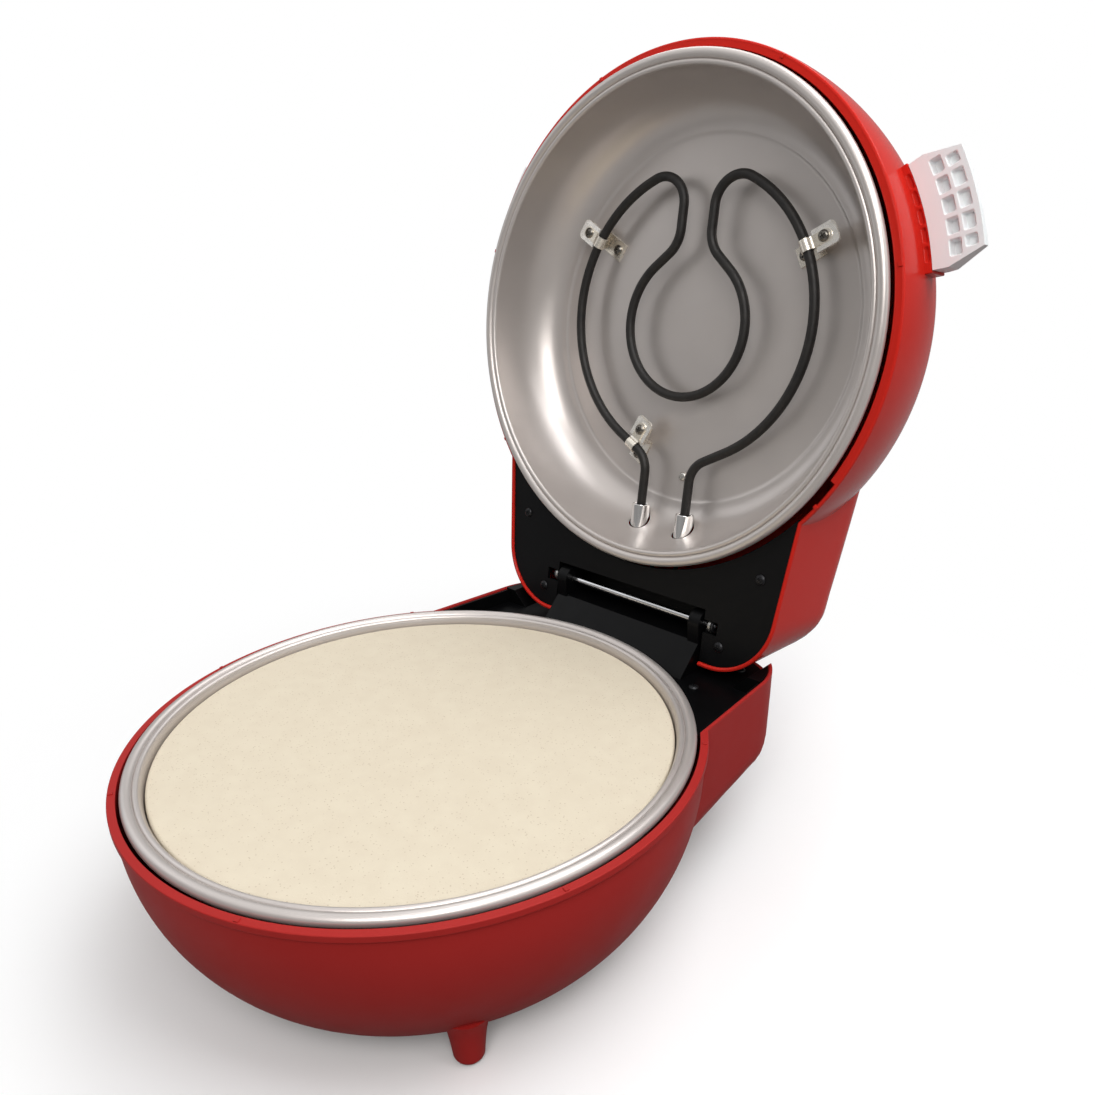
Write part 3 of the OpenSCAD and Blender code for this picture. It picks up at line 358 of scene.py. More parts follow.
looks = {
    # the same red plastic as the lid, written darker: painted shade for the light that falls less on the bowl
    "bowlRedShaded": {
        "tones": ((158, 36, 34), (165, 40, 37)), "toneScale": 6.0, "rough": (0.4, 0.48), "roughScale": 30.0,
        "relief": [(2600.0, 0.000003, 1.0)], "set": {"IOR": 1.33, "Specular IOR Level": 0.25},
    },
    "lidRed": {
        "tones": ((196, 36, 27), (203, 41, 31)), "toneScale": 6.0, "rough": (0.16, 0.22),
        "roughScale": 40.0, "relief": [(2600.0, 0.000002, 1.0)],
        "set": {"IOR": 1.33, "Specular IOR Level": 0.2},
    },
    "dishGrey": {
        "tones": ((194, 187, 183), (201, 194, 190)), "toneScale": 14.0, "rough": (0.31, 0.37),
        "roughScale": 60.0, "relief": [(1400.0, 0.000006, 2.0)], "set": {"Metallic": 0.6},
    },
    "stoneCream": {
        "tones": ((212, 200, 179), (216, 205, 184)), "toneScale": 110.0, "rough": (0.75, 0.92),
        "roughScale": 220.0,
        "specks": [{"scale": 430.0, "size": 0.2, "amount": 0.85, "tone": (160, 136, 108)},
                   {"scale": 420.0, "size": 0.1, "amount": 0.5, "tone": (244, 238, 224)}],
        "relief": [(900.0, 0.0001, 3.0), (160.0, 0.00002, 3.0)],
    },
    "rodBlack": {
        "tones": ((27, 25, 24), (38, 35, 33)), "toneScale": 180.0, "rough": (0.42, 0.58),
        "roughScale": 300.0, "relief": [(900.0, 0.00004, 3.0)], "set": {"Metallic": 0.35},
    },
    # its near-white edge tone is a painted highlight that gives the folded edges their definition
    "clipNickel": {
        "tones": ((216, 206, 190), (236, 228, 214)), "toneScale": 120.0, "rough": (0.2, 0.34),
        "roughScale": 260.0, "relief": [(500.0, 0.00003, 2.0)],
        "edgeWearAndHighlight": {"tone": (250, 246, 240), "amount": 0.9}, "set": {"Metallic": 0.75},
    },
    "sleeveSteel": {
        "tones": ((214, 212, 210), (236, 234, 232)), "toneScale": 60.0, "toneStretch": (6.0, 1.0, 0.6),
        "rough": (0.06, 0.16), "roughScale": 160.0, "roughStretch": (3.0, 0.3, 0.3),
        "relief": [(300.0, 0.00003, 2.0, (2.0, 0.3, 0.3))], "set": {"Metallic": 1.0},
    },
    "screwSteel": {
        "tones": ((176, 172, 166), (200, 196, 190)), "toneScale": 300.0, "rough": (0.2, 0.36),
        "roughScale": 500.0, "relief": [(1200.0, 0.00003, 2.0)],
        "edgeWearAndHighlight": {"tone": (235, 232, 226), "amount": 0.6}, "set": {"Metallic": 1.0},
    },
    # dark steel whose light edge tone is a painted highlight for the screws' glints
    "clipScrewSteel": {
        "tones": ((84, 80, 76), (112, 108, 102)), "toneScale": 300.0, "rough": (0.16, 0.3),
        "roughScale": 500.0, "relief": [(1200.0, 0.00003, 2.0)],
        "edgeWearAndHighlight": {"tone": (226, 220, 210), "amount": 0.8}, "set": {"Metallic": 1.0},
    },
    "screwBlack": {
        "tones": ((24, 24, 26), (34, 34, 36)), "toneScale": 300.0, "rough": (0.28, 0.42),
        "roughScale": 500.0, "relief": [(1200.0, 0.00003, 2.0)],
        "edgeWearAndHighlight": {"tone": (120, 120, 124), "amount": 0.5}, "set": {"Metallic": 0.7},
    },
    "hingeSteel": {
        "tones": ((196, 196, 198), (222, 222, 224)), "toneScale": 120.0, "toneStretch": (0.2, 1.0, 1.0),
        "rough": (0.12, 0.24), "roughScale": 400.0, "roughStretch": (0.1, 1.0, 1.0),
        "relief": [(600.0, 0.00002, 2.0, (0.15, 1.0, 1.0))], "set": {"Metallic": 1.0},
    },
    "panelBlack": {
        "tones": ((7, 7, 8), (11, 11, 12)), "toneScale": 20.0, "rough": (0.4, 0.54), "roughScale": 90.0,
        "relief": [(2200.0, 0.00001, 2.0)], "set": {"IOR": 1.3, "Specular IOR Level": 0.28},
    },
    "deckBlack": {
        "tones": ((5, 5, 6), (8, 8, 9)), "toneScale": 20.0, "rough": (0.3, 0.42), "roughScale": 90.0,
        "relief": [(1800.0, 0.000006, 2.0)], "set": {"IOR": 1.3, "Specular IOR Level": 0.28},
    },
    "handleWhite": {
        "tones": ((237, 241, 242), (242, 245, 246)), "toneScale": 30.0, "rough": (0.3, 0.42),
        "roughScale": 120.0, "relief": [(1600.0, 0.00002, 2.0), (150.0, 0.00003, 2.0)],
        "set": {"Specular IOR Level": 0.45},
    },
    "padRubber": {
        "tones": ((52, 52, 54), (64, 64, 66)), "toneScale": 200.0, "rough": (0.7, 0.88),
        "roughScale": 400.0, "relief": [(1500.0, 0.00006, 3.0)],
    },
    "leadRubber": {
        "tones": ((92, 104, 122), (106, 118, 134)), "toneScale": 120.0, "rough": (0.45, 0.6),
        "roughScale": 300.0, "relief": [(900.0, 0.00003, 2.0)],
    },
    "terminalIvory": {
        "tones": ((222, 214, 190), (232, 226, 206)), "toneScale": 90.0, "rough": (0.4, 0.55),
        "roughScale": 200.0, "relief": [(1300.0, 0.00003, 2.0)],
    },
    "plateSteel": {
        "tones": ((170, 168, 164), (190, 188, 184)), "toneScale": 80.0, "toneStretch": (1.0, 4.0, 1.0),
        "rough": (0.3, 0.45), "roughScale": 300.0, "roughStretch": (1.0, 6.0, 1.0),
        "relief": [(700.0, 0.00003, 2.0, (1.0, 5.0, 1.0))], "set": {"Metallic": 1.0},
    },
    "fuseTan": {
        "tones": ((186, 160, 120), (200, 176, 136)), "toneScale": 160.0, "rough": (0.4, 0.55),
        "roughScale": 300.0, "relief": [(900.0, 0.00004, 2.0)], "set": {"Metallic": 0.3},
    },
}
materials = {name: finish(name, look) for name, look in looks.items()}
print("finishes:", len(materials))


# Geometry node trees for what repeats or follows a path

def newTree(name, inputs):
    tree = bpy.data.node_groups.new(name, "GeometryNodeTree")
    tree.interface.new_socket("Geometry", in_out="INPUT", socket_type="NodeSocketGeometry")
    for label, kind in inputs:
        tree.interface.new_socket(label, in_out="INPUT", socket_type=kind)
    tree.interface.new_socket("Geometry", in_out="OUTPUT", socket_type="NodeSocketGeometry")
    return tree, tree.nodes.new("NodeGroupInput"), tree.nodes.new("NodeGroupOutput")


def endTree(tree, start, end, geometry):
    # instances become real meshes and get their finish
    add = nodeAdder(tree)
    real = add("GeometryNodeRealizeInstances", {"Geometry": geometry}).outputs["Geometry"]
    paint = add("GeometryNodeSetMaterial", {"Geometry": real, "Material": start.outputs["Finish"]})
    tree.links.new(paint.outputs["Geometry"], end.inputs["Geometry"])
    return tree


def runTree(obj, tree, values):
    modifier = obj.modifiers.new(tree.name, "NODES")
    modifier.node_group = tree
    for item in tree.interface.items_tree:
        if item.item_type == "SOCKET" and item.in_out == "INPUT" and item.name in values:
            modifier[item.identifier] = values[item.name]
    return bake(obj)


screwSizes = ("Head Radius", "Head Height", "Shank Radius", "Shank Length")


def makeScrewTree():
    # a pan-head screw with a cross recess on every point, looking along the point's "axis"
    sockets = [(size, "NodeSocketFloat") for size in screwSizes] + [("Finish", "NodeSocketMaterial")]
    tree, start, end = newTree("panScrews", sockets)
    add = nodeAdder(tree)
    radius, height, stemRadius, stemLength = (start.outputs[size] for size in screwSizes)

    def times(value, factor):
        return calc(add, "MULTIPLY", value, factor)

    def vector(x, y, z):
        return add("ShaderNodeCombineXYZ", {"X": x, "Y": y, "Z": z}).outputs[0]

    def placed(solid, **how):
        return add("GeometryNodeTransform", {"Geometry": solid.outputs["Mesh"], **how}).outputs["Geometry"]

    wide = times(radius, 1.05)
    dome = placed(add("GeometryNodeMeshUVSphere", {"Segments": 32, "Rings": 17, "Radius": 1.0}),
                  Scale=vector(wide, wide, height))
    drum = placed(add("GeometryNodeMeshCylinder", {"Vertices": 36, "Radius": radius,
                                                   "Depth": times(height, 1.5)}),
                  Translation=vector(0.0, 0.0, times(height, 0.76)))
    # the head is what the flattened ball and a drum above the seat have in common
    head = add("GeometryNodeMeshBoolean", {"Mesh 2": [dome, drum]}, operation="INTERSECT").outputs["Mesh"]
    long, short = times(radius, 1.15), times(radius, 0.24)
    slots = [placed(add("GeometryNodeMeshCube", {"Size": vector(x, y, times(height, 1.2))}),
                    Translation=vector(0.0, 0.0, times(height, 1.1)))
             for x, y in ((long, short), (short, long))]
    cut = add("GeometryNodeMeshBoolean", {"Mesh 1": head, "Mesh 2": slots}, operation="DIFFERENCE")
    stem = placed(add("GeometryNodeMeshCylinder", {"Vertices": 20, "Radius": stemRadius,
                                                   "Depth": stemLength}),
                  Translation=vector(0.0, 0.0, times(stemLength, -0.5)))
    whole = add("GeometryNodeJoinGeometry", {0: [cut.outputs["Mesh"], stem]})
    axis = add("GeometryNodeInputNamedAttribute", {"Name": "axis"}, data_type="FLOAT_VECTOR")
    facing = add("FunctionNodeAlignRotationToVector", {"Vector": axis.outputs["Attribute"]}, axis="Z")
    turnBy = add("FunctionNodeRandomValue", {3: 3.1, "Seed": 7}, data_type="FLOAT")
    about = add("FunctionNodeAxisAngleToRotation", {"Axis": (0, 0, 1), "Angle": turnBy.outputs[1]})
    both = add("FunctionNodeRotateRotation", {"Rotation": facing.outputs["Rotation"],
                                              "Rotate By": about.outputs["Rotation"]}, rotation_space="LOCAL")
    scatter = add("GeometryNodeInstanceOnPoints", {
        "Points": start.outputs["Geometry"], "Instance": whole.outputs[0],
        "Rotation": both.outputs["Rotation"]})
    return endTree(tree, start, end, scatter.outputs["Instances"])


def makeTubeTree():
    # a round section swept along a line of points, or round and round a ring
    tree, start, end = newTree("sweptTube", [("Radius", "NodeSocketFloat"), ("Sides", "NodeSocketInt"),
                                             ("Finish", "NodeSocketMaterial")])
    add = nodeAdder(tree)
    line = add("GeometryNodeMeshToCurve", {"Mesh": start.outputs["Geometry"]}).outputs["Curve"]
    section = add("GeometryNodeCurvePrimitiveCircle", {"Radius": start.outputs["Radius"],
                                                       "Resolution": start.outputs["Sides"]}).outputs["Curve"]
    sweep = add("GeometryNodeCurveToMesh", {"Curve": line, "Profile Curve": section, "Fill Caps": True})
    return endTree(tree, start, end, sweep.outputs["Mesh"])


screwTree = makeScrewTree()
tubeTree = makeTubeTree()


def screws(name, seats, size, turn, look, body, slot, node):
    # seats are (point, direction the head faces); size is head radius and height, shank radius and length
    mesh = bpy.data.meshes.new(name)
    mesh.from_pydata([tuple(p) for p, a in seats], [], [])
    axis = mesh.attributes.new("axis", "FLOAT_VECTOR", "POINT")
    for item, (p, a) in zip(axis.data, seats):
        item.vector = a
    values = {**dict(zip(screwSizes, size)), "Finish": materials[look]}
    settle(runTree(linked(name, mesh), screwTree, values), turn, look, body, slot, node)


def tube(name, points, radius, sides, look, closed=False):
    mesh = bpy.data.meshes.new(name)
    n = len(points)
    edges = [(i, i + 1) for i in range(n - 1)] + ([(n - 1, 0)] if closed else [])
    mesh.from_pydata([tuple(p) for p in points], edges, [])
    obj = runTree(linked(name, mesh), tubeTree, {"Radius": radius, "Sides": sides, "Finish": materials[look]})
    reworked(obj.data, faceOutwards)
    return obj


# Red shells: a dome or bowl turned round the rings' centre, run together with a rear block

shell = {
    "wall": 2.6, "lipOuter": 171.5, "lidLipInner": 165.8,
    "cornerX": 75.0, "cornerR": 47.0, "blockY": 222.0, "sideTaper": 6.2, "blockFront": 40.0,
    "rayY": 130.0,  # where the rays that sample the block start
}
lidForm = {
    "rim": 8.5, "radius": 171.5, "height": 120.0, "sideR": 200.0, "shoulderR": 50.0, "crownR": 410.0,
    "rearTop": 77.5, "topSlope": 2.6, "rearR": 38.0, "rearDraft": 8.5, "sideR2": 15.0, "sideDraft": 3.0,
    "sideTop": 81.5, "notchX": 68.0, "notchY": 183.0, "notchTop": 36.0,
}
baseForm = {
    "rim": 3.5, "radius": 169.5, "curveR": 127.5, "curveDrop": 12.0, "depth": 107.0,
    "rearTop": 68.0, "topSlope": 6.0, "rearR": 45.0, "rearDraft": 3.0, "sideR2": 18.0, "sideDraft": 3.0,
    "sideTop": 78.0, "dipX": 98.0, "dipZ": 11.5,
    "lipHeight": 4.0, "lipFrom": 160.0, "lipRound": 0.7,
    "inletX": 14.3, "inletLow": -40.8, "inletHigh": -20.2,
    "footAngle": 60.0, "footPlace": 133.6, "rearFoot": (64.0, 178.0), "footTip": 8.0, "footTop": 13.0,
    "padRadius": 5.5, "padHeight": 4.0, "padProud": 1.0,
}
ribAngles = [-115.0, -65.2, -13.6, 36.2, 143.8, 193.6]


def rimRibs(inner, outer, low, high):
    # small locating ribs across a rim
    parts = []
    for angle in ribAngles:
        rib = boxObject("rib", (inner, -1.3, min(low, high)), (outer, 1.3, max(low, high)))
        parts.append(turned(softEdges(rib, 0.35, 2), spin(angle)))
    return parts


def cornerGap(u, w, radius, low, high):
    # how far a point lies outside a rounded corner whose flat sides face the angles low and high
    angle = np.arctan2(w, u)
    sideLow = u * np.cos(low) + w * np.sin(low) - radius
    sideHigh = u * np.cos(high) + w * np.sin(high) - radius
    return np.where((angle > low) & (angle < high), np.hypot(u, w) - radius, np.maximum(sideLow, sideHigh))


def blockGap(x, y, up, form, inset):
    # a block with drafted walls whose draft and top edge change smoothly from its sides to its rear
    taper, square = math.radians(shell["sideTaper"]), math.radians(90)
    u, v = np.abs(x) - shell["cornerX"], y - (shell["blockY"] - shell["cornerR"])
    plan = cornerGap(u, v, shell["cornerR"], taper, square)
    share = np.clip((np.arctan2(v, np.maximum(u, 1e-6)) - taper) / (square - taper), 0, 1)
    share = np.where(u <= 0, 1.0, share)
    share = np.where((u > 0) & (v < u * math.tan(taper)), 0.0, share)
    share = share * share * (3 - 2 * share)
    draft = np.radians(form["sideDraft"] + (form["rearDraft"] - form["sideDraft"]) * share)
    edge = form["sideR2"] + (form["rearR"] - form["sideR2"]) * share
    top = form["rearTop"] + np.maximum(0, shell["blockY"] - 44 - y) * math.tan(math.radians(form["topSlope"]))
    top = np.minimum(top, form["sideTop"])
    middle = -(edge + (top - edge) * np.sin(draft)) / np.cos(draft)
    gap = cornerGap(plan - middle, np.maximum(up, 0) - (top - edge), edge - inset, draft, square)
    return np.maximum(gap, shell["blockFront"] + inset - y)


def blockSolid(name, form, inset, below):
    # the block sampled by rays from a point inside it, as a closed solid standing on its rim
    around = np.radians(np.arange(0, 360, 1.5))
    if below:
        rows = [(-below, 0.0, 0.8), (0.0, 0.0, 0.8), (0.8, 0.0, 0.0), (2.0, 0.0, 0.0)]
    else:
        rows = [(0.0, 0.0, -1.2), (0.35, 0.0, -0.35), (1.2, 0.0, 0.0), (2.0, 0.0, 0.0)]
    rows += [(2.0, tilt, 0.0) for tilt in np.radians(np.arange(1.5, 89.5, 1.75))]
    verts = []
    for height, tilt, grow in rows:
        near, far = np.zeros_like(around), np.full_like(around, 300.0)

        def at(reach):
            flat = reach * np.cos(tilt)
            return flat * np.cos(around), shell["rayY"] + flat * np.sin(around), height + reach * np.sin(tilt)

        for _ in range(40):  # halving the gap to the wall
            reach = (near + far) / 2
            gap = blockGap(*at(reach), form, inset - grow)
            near, far = np.where(gap < 0, reach, near), np.where(gap < 0, far, reach)
        verts += list(zip(*at((near + far) / 2)))
    return stacked(name, verts, len(around))


def meetCircles(ca, ra, cb, rb):
    d = math.dist(ca, cb)
    t = (ra * ra - rb * rb + d * d) / (2 * d)
    h = math.sqrt(ra * ra - t * t)
    ex, ey = (cb[0] - ca[0]) / d, (cb[1] - ca[1]) / d
    px, py = ca[0] + ex * t, ca[1] + ey * t
    return max((px - ey * h, py + ex * h), (px + ey * h, py - ex * h))


def domeProfile(inset, below):
    f = lidForm
    side = (f["radius"] - f["sideR"], f["rim"])
    crown = (0.0, f["height"] - f["crownR"])
    shoulder = meetCircles(side, f["sideR"] - f["shoulderR"], crown, f["crownR"] - f["shoulderR"])
    sideEnd = math.degrees(math.atan2(shoulder[1] - side[1], shoulder[0] - side[0]))
    crownEnd = math.degrees(math.atan2(shoulder[1] - crown[1], shoulder[0] - crown[0]))
    rim, edge = f["rim"], f["radius"] - inset
    if below:
        line = [(0.0, rim - below), (edge + 0.8, rim - below), (edge + 0.8, rim), (edge, rim + 0.8)]
    else:
        line = [(0.0, rim), (edge - 1.2, rim), (edge - 0.35, rim + 0.35), (edge, rim + 1.2)]
    line += arcPoints(*side, f["sideR"] - inset, 1.2, sideEnd, 16)
    line += arcPoints(*shoulder, f["shoulderR"] - inset, sideEnd, crownEnd, 16)[1:]
    line += arcPoints(*crown, f["crownR"] - inset, crownEnd, 90, 14)[1:]
    return line


def bowlProfile(inset, top):
    f = baseForm
    r = f["curveR"] - inset
    cx, cz, bottom = f["radius"] - f["curveR"], -f["curveDrop"], -f["depth"] + inset
    low = math.degrees(math.asin((bottom - cz) / r))
    corner = (cx + r * cosDeg(low), bottom)
    start = arcPoints(cx, cz, r, 0, low + 4, 26)
    ahead = (corner[0] - 9, bottom)
    turn = [((1 - t) ** 2 * start[-1][0] + 2 * t * (1 - t) * corner[0] + t * t * ahead[0],
             (1 - t) ** 2 * start[-1][1] + 2 * t * (1 - t) * corner[1] + t * t * ahead[1])
            for t in (0.2, 0.4, 0.6, 0.8, 1.0)]
    floor = [(corner[0] * 0.5, bottom), (0.0, bottom)]
    return [(0.0, top), (f["radius"] - inset, top)] + start + turn + floor


handleForm = {
    "angle": 66.5, "root": 173.6, "reach": 203.0, "width": 63.0, "widthAt": 176.5, "under": 38.5,
    "rootThick": 16.0, "tipThick": 4.0, "cornerCut": 2.2, "cornerRun": 9.0, "bedFrom": 160.0,
    # three rows of five pockets, the first of them in the red bed
    "rowAt": (171.2, 187.4, 196.4), "rowOut": (3.0, 7.0, 7.0), "rowAlong": (9.0, 9.4, 9.8),
    "rowDeep": (1.8, 6.0, 4.0), "pocketRound": 1.2,
    "pocketTurn": 3.6, "cornerLess": 3.2, "cornerShift": 0.45,
}


def handleTurn(side):
    # handle frame: x points away from the rings' centre, y along the dome's side
    return Matrix.Diagonal((side, 1, 1, 1)) @ spin(handleForm["angle"] - 90)


def handleHalf():
    return math.degrees(math.asin(handleForm["width"] / 2 / handleForm["widthAt"]))


def pocketCutters(row):
    # pockets with drafted walls, rounded corners and a soft mouth
    f = handleForm
    deep, parts = f["rowDeep"][row], []
    # (depth, how far the wall stands outside its middle size)
    steps = [(-1.0, 0.85), (0.0, 0.6), (0.25, 0.27), (0.75, 0.0), (deep - 0.7, -0.3), (deep - 0.2, -0.55),
             (deep, -1.1)]
    for i in range(-2, 3):
        corner = row == 2 and abs(i) == 2
        along = f["rowAlong"][row] - (f["cornerLess"] if corner else 0)
        verts = []
        for height, grow in steps:
            ring = roundedRect(f["rowAt"][row], 0, f["rowOut"][row] + 2 * grow - 0.8, along + 2 * grow - 0.8,
                               f["pocketRound"])
            verts += [(x, y, f["under"] + height) for x, y in ring]
        turn = i * f["pocketTurn"] - (math.copysign(f["cornerShift"], i) if corner else 0)
        parts.append(turned(stacked("pocket", verts, len(ring)), spin(turn)))
    return parts


def handleBed():
    # red ledge that a handle's root stands on
    f, half = handleForm, handleHalf() + 0.5
    outline = arcPoints(0, 0, f["bedFrom"], half, -half, 16)
    outline += arcPoints(0, 0, f["root"] - 0.3, -half, half, 16)
    bed = softEdges(prism("bed", outline, f["under"], f["under"] + f["rootThick"] + 1), 0.7, 3, 50)
    return combine(bed, pocketCutters(0), "DIFFERENCE")


def lidShell():
    f, s = lidForm, shell
    outer = lathe("lidShell", domeProfile(0.0, 0))
    block = turned(blockSolid("block", f, 0.0, 0), shift(0, 0, f["rim"]))
    beds = [turned(handleBed(), handleTurn(side)) for side in (1, -1)]
    combine(outer, [block] + beds, "UNION")
    innerDome = lathe("inner", domeProfile(s["wall"], 3))
    innerBlock = turned(blockSolid("innerBlock", f, s["wall"], 3.0), shift(0, 0, f["rim"]))
    notch = boxObject("notch", (-f["notchX"], f["notchY"], f["rim"] - 5),
                      (f["notchX"], f["notchY"] + 60, f["notchTop"]))
    combine(outer, [innerDome, innerBlock, notch], "DIFFERENCE")
    combine(outer, rimRibs(f["radius"] - 3.2, f["radius"] - 0.4, f["rim"] + 1, f["rim"] - 0.8), "UNION")
    # the lip that the open edge carries inside
    edge, low = s["lidLipInner"], f["rim"] + 0.05
    lip = [(edge + 0.3, low), (edge, low + 0.3), (edge, low + 2), (170.4, low + 2), (170.4, low)]
    ledge = lathe("ledge", lip, 200, 150.0, 390.0)
    return joined("lid_shell_red", [outer, ledge])


settle(lidShell(), lidTurn, "lidRed", "lid", "red_plastic", "lid_shell", sharp=22)
print("lid shell made")


def footPlaces():
    # the front and rear foot of each side, and how far down in the bowl each starts
    f = baseForm
    for side in (1, -1):
        yield side * f["footPlace"] * sinDeg(f["footAngle"]), -f["footPlace"] * cosDeg(f["footAngle"]), 88
        yield side * f["rearFoot"][0], f["rearFoot"][1], 66


def footSolid(topZ):
    f = baseForm
    tip, high = f["footTip"], -topZ
    z0 = -place["ringHeight"] + f["padProud"]
    side = []
    for i in range(9):
        t = i / 8
        # straight for most of its height, then flaring into the bowl
        flare = 0.55 * t + 0.45 * t ** 3
        side.append((tip + 0.4 + (f["footTop"] - tip) * flare, z0 + 4 + (high - z0 - 4) * t))
    line = [(0.0, high), (0.0, z0)] + arcPoints(tip - 3.6, z0 + 4, 4.0, -90, 0, 6)[:-1] + side
    return lathe("foot", line, 64)


def baseShell():
    f, s = baseForm, shell
    outer = lathe("baseShell", bowlProfile(0.0, -f["rim"]))
    flip = shift(0, 0, -f["rim"]) @ Matrix.Diagonal((1, 1, -1, 1))
    block = turned(blockSolid("block", f, 0.0, 0), flip)
    lipZ, r = -f["rim"], f["lipRound"]
    lipLine = [(f["lipFrom"], lipZ)] + arcPoints(s["lipOuter"] - r, lipZ - r, r, 90, 0, 4)
    lipLine += arcPoints(s["lipOuter"] - r, lipZ - f["lipHeight"] + r, r, 0, -90, 4)
    lip = lathe("lip", lipLine + [(f["lipFrom"], lipZ - f["lipHeight"])])
    feet = [turned(footSolid(topZ), shift(x, y, 0)) for x, y, topZ in footPlaces()]
    combine(outer, [block, lip] + feet, "UNION")
    innerBowl = lathe("inner", bowlProfile(s["wall"], 10.0))
    innerBlock = turned(blockSolid("innerBlock", f, s["wall"], 3.0), flip)
    low, wide = -f["rim"] - f["dipZ"], f["dipX"] + f["dipZ"] + 1
    dip = prism("dip", [(-f["dipX"], low), (f["dipX"], low), (wide, 1 - f["rim"]), (-wide, 1 - f["rim"])],
                200, 240, "y")
    hole = boxObject("inletHole", (-f["inletX"], 190, f["inletLow"]), (f["inletX"], 240, f["inletHigh"]))
    seatLow = -place["ringHeight"] - 1
    seat = [(0, seatLow), (f["padRadius"], seatLow), (f["padRadius"], seatLow + 5), (0, seatLow + 5)]
    seats = [turned(lathe("seat", seat, 48), shift(x, y, 0)) for x, y, topZ in footPlaces()]
    combine(outer, [innerBowl, innerBlock, dip, hole] + seats, "DIFFERENCE")
    combine(outer, rimRibs(s["lipOuter"] - 3.4, s["lipOuter"] - 0.5, lipZ - 1.5, lipZ + 0.7), "UNION")
    return joined("base_shell_red", [outer])


settle(baseShell(), baseTurn, "bowlRedShaded", "base", "red_plastic", "base_shell", sharp=22)
print("base shell made")

# rubber plugs under the feet
r, h, low = baseForm["padRadius"] - 0.05, baseForm["padHeight"] - 0.05, -place["ringHeight"]
padLine = [(0, low), (r - 1.2, low), (r - 0.4, low + 0.3), (r, low + 0.9), (r, low + h), (0, low + h)]
padParts = [turned(lathe("pad", padLine, 48), shift(x, y, 0)) for x, y, topZ in footPlaces()]
settle(joined("foot_pads_rubber", padParts), baseTurn, "padRubber", "base", "pad_rubber", "foot_pads")


# Spun dishes with their rolled double ring

dish = {
    "ringR": 165.0, "beadR": 3.5, "innerBeadR": 1.9, "innerBeadAt": (156.5, 3.0), "thick": 1.0, "depth": 50.0,
    "floorR": 126.0, "floorStep": 1.0, "wallR": 154.5, "wallTop": 3.0,
    "seatR": 153.3, "seatDepth": 18.0, "seatLedge": 6.0, "stoneDrop": 6.0,
    "rodDepth": 38.0, "sleeveX": 20.0, "sleeveY": 131.0, "sleeveLength": 24.0, "sleeveRadius": 6.5,
    "sleeveWall": 0.8,
}


def dishLine(fromR, fromZ, off):
    # down the curved wall, over the small step and across the floor
    d = dish
    line = [(d["floorR"] + (fromR - d["floorR"] + off) * cosDeg(a),
             fromZ + (d["depth"] - fromZ + off) * sinDeg(a)) for a in np.linspace(0, 88, 25)]
    # (how far inside the floor's edge, share of the step)
    line += [(d["floorR"] - inside + off / 2, d["depth"] + share * d["floorStep"] + off)
             for inside, share in ((0.4, 0.0), (1.2, 0.35), (2.4, 0.9), (4.0, 1.0))]
    return line + [(x, d["depth"] + d["floorStep"] + off) for x in (60.0, 0.0)]


def ringTubes():
    d = dish
    parts = []
    for radius, height, bead, sides in ((d["ringR"] - d["beadR"], d["beadR"], d["beadR"], 28),
                                        (d["innerBeadAt"][0], d["innerBeadAt"][1], d["innerBeadR"], 20)):
        around = np.linspace(0, 2 * math.pi, 240, endpoint=False)
        line = [(radius * math.cos(a), radius * math.sin(a), height) for a in around]
        parts.append(tube("bead", line, bead, sides, "dishGrey", closed=True))
    return parts


def sleeveCutters():
    d, r = dish, dish["sleeveRadius"] + 1
    return [turned(lathe("hole", [(0, 0), (r, 0), (r, 40), (0, 40)], 48),
                   alongY(side * d["sleeveX"], d["sleeveY"] + 3, d["rodDepth"])) for side in (1, -1)]


def upperDish():
    d = dish
    line = dishLine(d["wallR"], d["wallTop"], 0)
    line += reversed(dishLine(d["wallR"], d["wallTop"], d["thick"]))
    sheet = lathe("sheet", line)
    combine(sheet, sleeveCutters(), "DIFFERENCE")
    return joined("upper_dish_steel", [sheet] + ringTubes())


def lowerDish():
    d = dish
    ledge = d["seatR"] - d["seatLedge"]
    line = [(d["wallR"], d["wallTop"]), (d["seatR"], d["stoneDrop"]), (d["seatR"], d["seatDepth"] - 1.5),
            (d["seatR"] - 0.5, d["seatDepth"] - 0.4), (d["seatR"] - 1.5, d["seatDepth"])]
    line += dishLine(ledge, d["seatDepth"], 0)
    line += reversed(dishLine(ledge, d["seatDepth"] + d["thick"], d["thick"]))
    outside = d["seatR"] + d["thick"]
    line += [(outside, d["seatDepth"] + d["thick"]), (outside, d["stoneDrop"]),
             (d["wallR"] + d["thick"], d["wallTop"])]
    sheet = lathe("sheet", line)
    combine(sheet, sleeveCutters(), "DIFFERENCE")
    return joined("lower_dish_steel", [sheet] + ringTubes())


settle(upperDish(), upperTurn, "dishGrey", "lid", "dish_metal", "upper_dish", sharp=32)
settle(lowerDish(), lowerTurn, "dishGrey", "base", "dish_metal", "lower_dish", sharp=32)
print("dishes made")

stone = {"radius": 152.4, "thick": 12.0, "drop": 6.0, "edge": 2.0}


def bakingStone():
    r, t, e = stone["radius"], stone["thick"], stone["edge"]
    low = -stone["drop"] - t
    line = [(0.0, low)] + [(r - e, low)] + arcPoints(r - e, low + e, e, -90, 0, 5)[1:] \
        + arcPoints(r - e, low + t - e, e, 0, 90, 5) + [(r - 20, low + t), (r / 2, low + t), (0.0, low + t)]
    return lathe("baking_stone_slab", line)


settle(bakingStone(), baseTurn, "stoneCream", "stone", "stone", "baking_stone")


# Heating rods: the same bends as the frame's, swept by the tube tree

